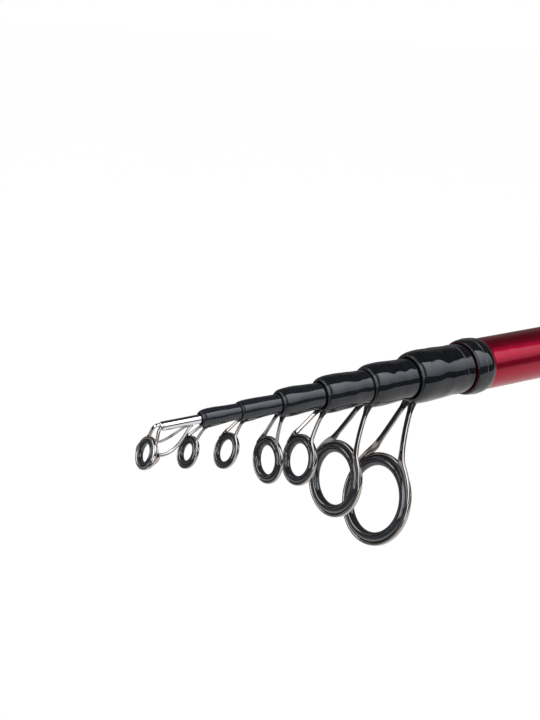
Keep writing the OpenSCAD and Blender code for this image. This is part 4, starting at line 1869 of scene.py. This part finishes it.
@dataclass(frozen=True)
class Studio:
    """Camera, pale floor, soft box and surroundings, in metres.

    The steps named near and far light the floor for reflections, and those named box light the soft box.
    """

    camera_at: Triple = (-0.67095, -0.20828, 0.11177)
    look: Triple = (0.5216, 0.7738, -0.3595)
    right: Triple = (0.8418, -0.5353, 0.0692)
    lens: float = 45.0
    sensor: float = 36.0
    floor_z: float = -0.16
    floor_front: float = -0.9
    floor_reach: float = 9.0
    floor_white: float = 1.03
    floor_glow: float = 0.94
    floor_paint: Triple = (0.86, 0.86, 0.86)
    near_along: Step = Step(-0.67, -0.6, 0.05, 1.0)
    near_across: Step = Step(0.08, 0.34, 0.84, 0.1)
    far_along: Step = Step(-0.85, -0.68, 1.0, 0.0)
    far_start: Step = Step(0.4, 0.65, 0.0, 1.0)
    far_end: Step = Step(1.8, 3.4, 0.5, 0.0)
    box_low: tuple[float, float] = (-1.2, 0.36)
    box_high: tuple[float, float] = (-0.2, 1.12)
    box_reach: float = 2.6
    box_rise: tuple[float, float] = (0.9, 2.6)
    box_middle: Step = Step(-0.1, 0.5, 1.4, 1.0)
    box_gap: Step = Step(-0.52, -0.3, 0.1, 1.0)
    box_end: Step = Step(-0.95, -0.75, 0.75, 0.0)
    box_slope: float = 0.65
    box_top: Step = Step(1.335, 1.37, 1.0, 0.0)
    box_colour: Triple = (0.93, 0.98, 1.07)
    behind_way: tuple[float, float] = (0.56, 0.83)
    behind_on: Step = Step(0.35, 0.65, 0.0, 0.14)
    behind_off: Step = Step(0.25, 0.6, 1.0, 0.0)
    upper_card: Card = Card(
        Step(-0.3, -0.12, 3.6, 0.0), Step(0.58, 0.72, 1.0, 0.12),
        Step(0.27, 0.36, 0.0, 1.0), Step(0.52, 0.68, 1.0, 0.0))
    lower_card: Card = Card(
        Step(-0.78, -0.55, 2.2, 0.0), Step(0.0, 0.2, 1.0, 0.0),
        Step(0.0, 0.08, 0.0, 1.0), Step(0.26, 0.38, 1.0, 0.0))
    dim: float = 0.035
    fill: float = 0.5

    def camera(self) -> None:
        """Puts the camera at the photograph's viewing point."""
        data = bpy.data.cameras.new("camera")
        data.lens = self.lens
        data.sensor_width = self.sensor
        data.clip_start = 0.01
        data.clip_end = 50.0
        camera = bpy.data.objects.new("camera", data)
        back = -Vector(self.look).normalized()
        right = Vector(self.right)
        right = (right - right.dot(back) * back).normalized()
        columns = Matrix((right, back.cross(right), back)).transposed()
        camera.matrix_world = Matrix.Translation(self.camera_at) @ columns.to_4x4()
        bpy.context.scene.collection.objects.link(camera)
        bpy.context.scene.camera = camera

    @staticmethod
    def panel(name: str, corners: Sequence[Sequence[float]]) -> tuple[Piece, StageTree]:
        """Flat four-cornered object of the stage with an empty material.

        Args:
            name: Name of the panel and of its material.
            corners: Its four corners in metres.

        Returns:
            The panel and the tree of its material.
        """
        mesh = bpy.data.meshes.new(name)
        mesh.from_pydata([tuple(c) for c in corners], [], [(0, 1, 2, 3)])
        panel = bpy.data.objects.new(name, mesh)
        bpy.context.scene.collection.objects.link(panel)
        material = bpy.data.materials.new(name)
        material.use_nodes = True
        mesh.materials.append(material)
        return panel, StageTree(material.node_tree, "Object")

    def floor(self) -> None:
        """Pale floor under the rod: white where it is seen, with part of the shadow kept.

        Reflections see it lit under the rod and again far beyond the tip, with a dim stretch between.
        """
        z, front, far = self.floor_z, self.floor_front, self.floor_reach
        _, tree = self.panel("floor", [(-far, front, z), (far, front, z), (far, far, z), (-far, far, z)])
        x, y = tree.axis["X"], tree.axis["Y"]
        near = tree.window((x, self.near_along), (y, self.near_across))
        beyond = tree.window((x, self.far_along), (y, self.far_start), (y, self.far_end))
        level = tree.choose(tree.seen(), tree.math("ADD", near, beyond), self.floor_white)
        paint = tree.shader("ShaderNodeBsdfDiffuse", self.floor_paint)
        glow = tree.shader("ShaderNodeEmission", (1.0, 1.0, 1.0), level)
        mix = tree.tree.nodes.new("ShaderNodeMixShader")
        tree.feed(mix.inputs["Fac"], tree.math("MULTIPLY", tree.seen("Is Glossy Ray"), self.floor_glow))
        tree.tree.links.new(paint.outputs[0], mix.inputs[1])
        tree.tree.links.new(glow.outputs[0], mix.inputs[2])
        tree.finish("ShaderNodeOutputMaterial", mix)

    def soft_box(self) -> None:
        """Long soft box in front of and above the rod.

        It grows brighter towards its top edge, which slopes down to the butt, and has a dim gap past
        the tip.
        """
        low, high, far = self.box_low, self.box_high, self.box_reach
        box, tree = self.panel("soft_box", [(-far, *low), (far, *low), (far, *high), (-far, *high)])
        x, z = tree.axis["X"], tree.axis["Z"]
        slope = tree.math("ADD", z, tree.math("MULTIPLY", x, self.box_slope))
        ends = tree.math("ADD", tree.ramp(x, self.box_gap), tree.ramp(x, self.box_end))
        rise = Step(low[1], high[1], *self.box_rise)
        lit = tree.window((z, rise), (x, self.box_middle), (slope, self.box_top))
        light = tree.shader("ShaderNodeEmission", self.box_colour, tree.math("MULTIPLY", lit, ends))
        tree.finish("ShaderNodeOutputMaterial", light)
        box.visible_camera = False

    def world(self) -> None:
        """White where it is seen directly.

        For reflections it is dim behind the rod, with two pale cards past the tip.
        """
        world = bpy.data.worlds.new("studio")
        bpy.context.scene.world = world
        world.use_nodes = True
        tree = StageTree(world.node_tree, "Generated")
        x, y, z = tree.axis["X"], tree.axis["Y"], tree.axis["Z"]
        way = zip((x, y), self.behind_way)
        ahead = tree.math("ADD", *(tree.math("MULTIPLY", value, share) for value, share in way))
        lights = [tree.window((ahead, self.behind_on), (z, self.behind_off))]
        for card in (self.upper_card, self.lower_card):
            lights.append(tree.window((x, card.along), (y, card.across), (z, card.bottom), (z, card.top)))
        level = tree.choose(tree.ray["Is Glossy Ray"], self.fill, tree.math("ADD", *lights, self.dim))
        strength = tree.choose(tree.seen(), level, 1.0)
        sky = tree.shader("ShaderNodeBackground", (1.0, 1.0, 1.0), strength)
        tree.finish("ShaderNodeOutputWorld", sky)

    def build(self) -> None:
        """Sets up the camera, the floor and the light."""
        bpy.context.scene.view_settings.view_transform = "Standard"
        self.camera()
        self.floor()
        self.soft_box()
        self.world()


@dataclass(frozen=True)
class GuideSizes:
    """Sizes of the six guides in mm and degrees, from the butt to the tip, and the tip ring's place."""

    od: tuple[float, ...] = (32.7, 26.2, 16.7, 15.2, 11.3, 10.0)
    hole: tuple[float, ...] = (23.3, 17.6, 10.4, 9.0, 6.7, 5.0)
    band: tuple[float, ...] = (1.15, 1.05, 0.8, 0.75, 0.6, 0.55)
    band_t: tuple[float, ...] = (2.0, 2.0, 1.6, 1.5, 1.2, 1.1)
    ceramic_t: tuple[float, ...] = (3.5, 3.2, 2.5, 2.4, 1.9, 1.8)
    drop: tuple[float, ...] = (44.6, 33.7, 21.6, 20.1, 12.4, 10.1)
    ahead: tuple[float, ...] = (7.8, 6.8, 6.0, 1.3, 3.8, 3.8)
    lean: tuple[float, ...] = (19.6, 13.7, 17.2, 10.9, 25.5, 24.6)
    leg_w: tuple[float, ...] = (2.1, 1.75, 1.4, 1.2, 1.0, 0.9)
    leg_t: tuple[float, ...] = (1.15, 1.0, 0.85, 0.75, 0.65, 0.6)
    foot_l: tuple[float, ...] = (15.0, 12.0, 11.5, 9.5, 7.5, 7.0)
    foot_t: tuple[float, ...] = (1.0, 0.9, 0.75, 0.7, 0.55, 0.5)
    foot_cover: tuple[float, ...] = (0.6, 0.55, 0.5, 0.5, 0.45, 0.45)
    waist: tuple[float, ...] = (0.0, 0.08, 0.18, 0.18, 0.12, 0.15)
    root_side: tuple[float, ...] = (1.4, 1.8, 1.4, 1.4, 1.0, 1.0)
    root_back: tuple[float, ...] = (2.3, 1.1, 0.8, 1.1, 0.7, 1.1)
    land_far: tuple[float, ...] = (1.21, 1.1, 1.12, 1.13, 1.12, 1.1)
    land_turn: tuple[float, ...] = (20.0, 26.0, 27.0, 25.0, 23.0, 24.0)
    land_ahead: tuple[float, ...] = (2.7, 1.0, 1.4, 1.4, 1.1, 0.5)
    tip_ahead: float = 4.0
    tip_drop: float = 7.5
    tip_lean: float = 23.0

    def foot_top(self, plan: RodPlan, k: int) -> float:
        """Depth of the top of a guide's foot below the rod axis.

        Args:
            plan: Sizes of the rod.
            k: Number of the section, counted from the butt.

        Returns:
            The depth in mm.
        """
        return plan.blank_r(k, plan.mouth(k) - self.foot_l[k - 1]) + 2.0 * plan.seat_fit

    def guide(self, plan: RodPlan, k: int) -> Guide:
        """Guide of section k.

        Args:
            plan: Sizes of the rod.
            k: Number of the section, counted from the butt.

        Returns:
            The guide.
        """
        i = k - 1
        seat = RingSeat(plan.mouth(k) + self.ahead[i], self.drop[i], self.lean[i], plan.turn[i])
        foot = -self.foot_top(plan, k) - self.foot_t[i]
        root = (foot, self.root_side[i], plan.mouth(k) - self.root_back[i])
        land = (self.land_far[i], self.land_turn[i], self.land_ahead[i])
        return Guide(
            k, seat, self.od[i], self.hole[i], self.band[i], self.band_t[i], self.ceramic_t[i],
            self.leg_w[i], self.leg_t[i], root, land, plan.front_r[i])

    def whipping(self, plan: RodPlan, k: int) -> Whipping:
        """Whipping of section k, swollen over its guide's foot.

        Args:
            plan: Sizes of the rod.
            k: Number of the section, counted from the butt.

        Returns:
            The whipping.
        """
        i = k - 1
        swell = self.foot_top(plan, k) + self.foot_t[i] + self.foot_cover[i] - plan.whip_r[i]
        return Whipping(plan, k, self.foot_l[i], swell, self.waist[i])

    def tip(self, plan: RodPlan) -> TipGuide:
        """Tip guide of the last section.

        Args:
            plan: Sizes of the rod.

        Returns:
            The tip guide.
        """
        seat = RingSeat(plan.nose() + self.tip_ahead, self.tip_drop, self.tip_lean, 0.0)
        return TipGuide(plan, seat)


def main() -> None:
    """Builds the studio and every sub-assembly of the rod, from the butt to the tip."""
    logging.basicConfig(level=logging.INFO, format="%(name)s: %(message)s")
    plan = RodPlan()
    sizes = GuideSizes()
    finishes = Finishes.make()
    Studio().build()
    Handle().build(finishes)
    butt = ButtTube(plan)
    butt.build(finishes)
    mouth, over = plan.butt_length, 0.01
    threads = (
        TrimThread("collar_thread", "butt", "butt_trim", mouth - plan.collar_trim, butt.collar_r),
        TrimThread("whip_thread", "section_1", "trim_1", mouth + plan.first_trim, plan.whip_r[0] + over),
    )
    for thread in threads:
        thread.build(finishes)
    for k in range(1, TIP + 1):
        Blank(plan, k).build(finishes)
    for k in range(1, TIP):
        sizes.whipping(plan, k).build(finishes)
        sizes.guide(plan, k).build(finishes)
    sizes.tip(plan).build(finishes)


if __name__ == "__main__":
    main()
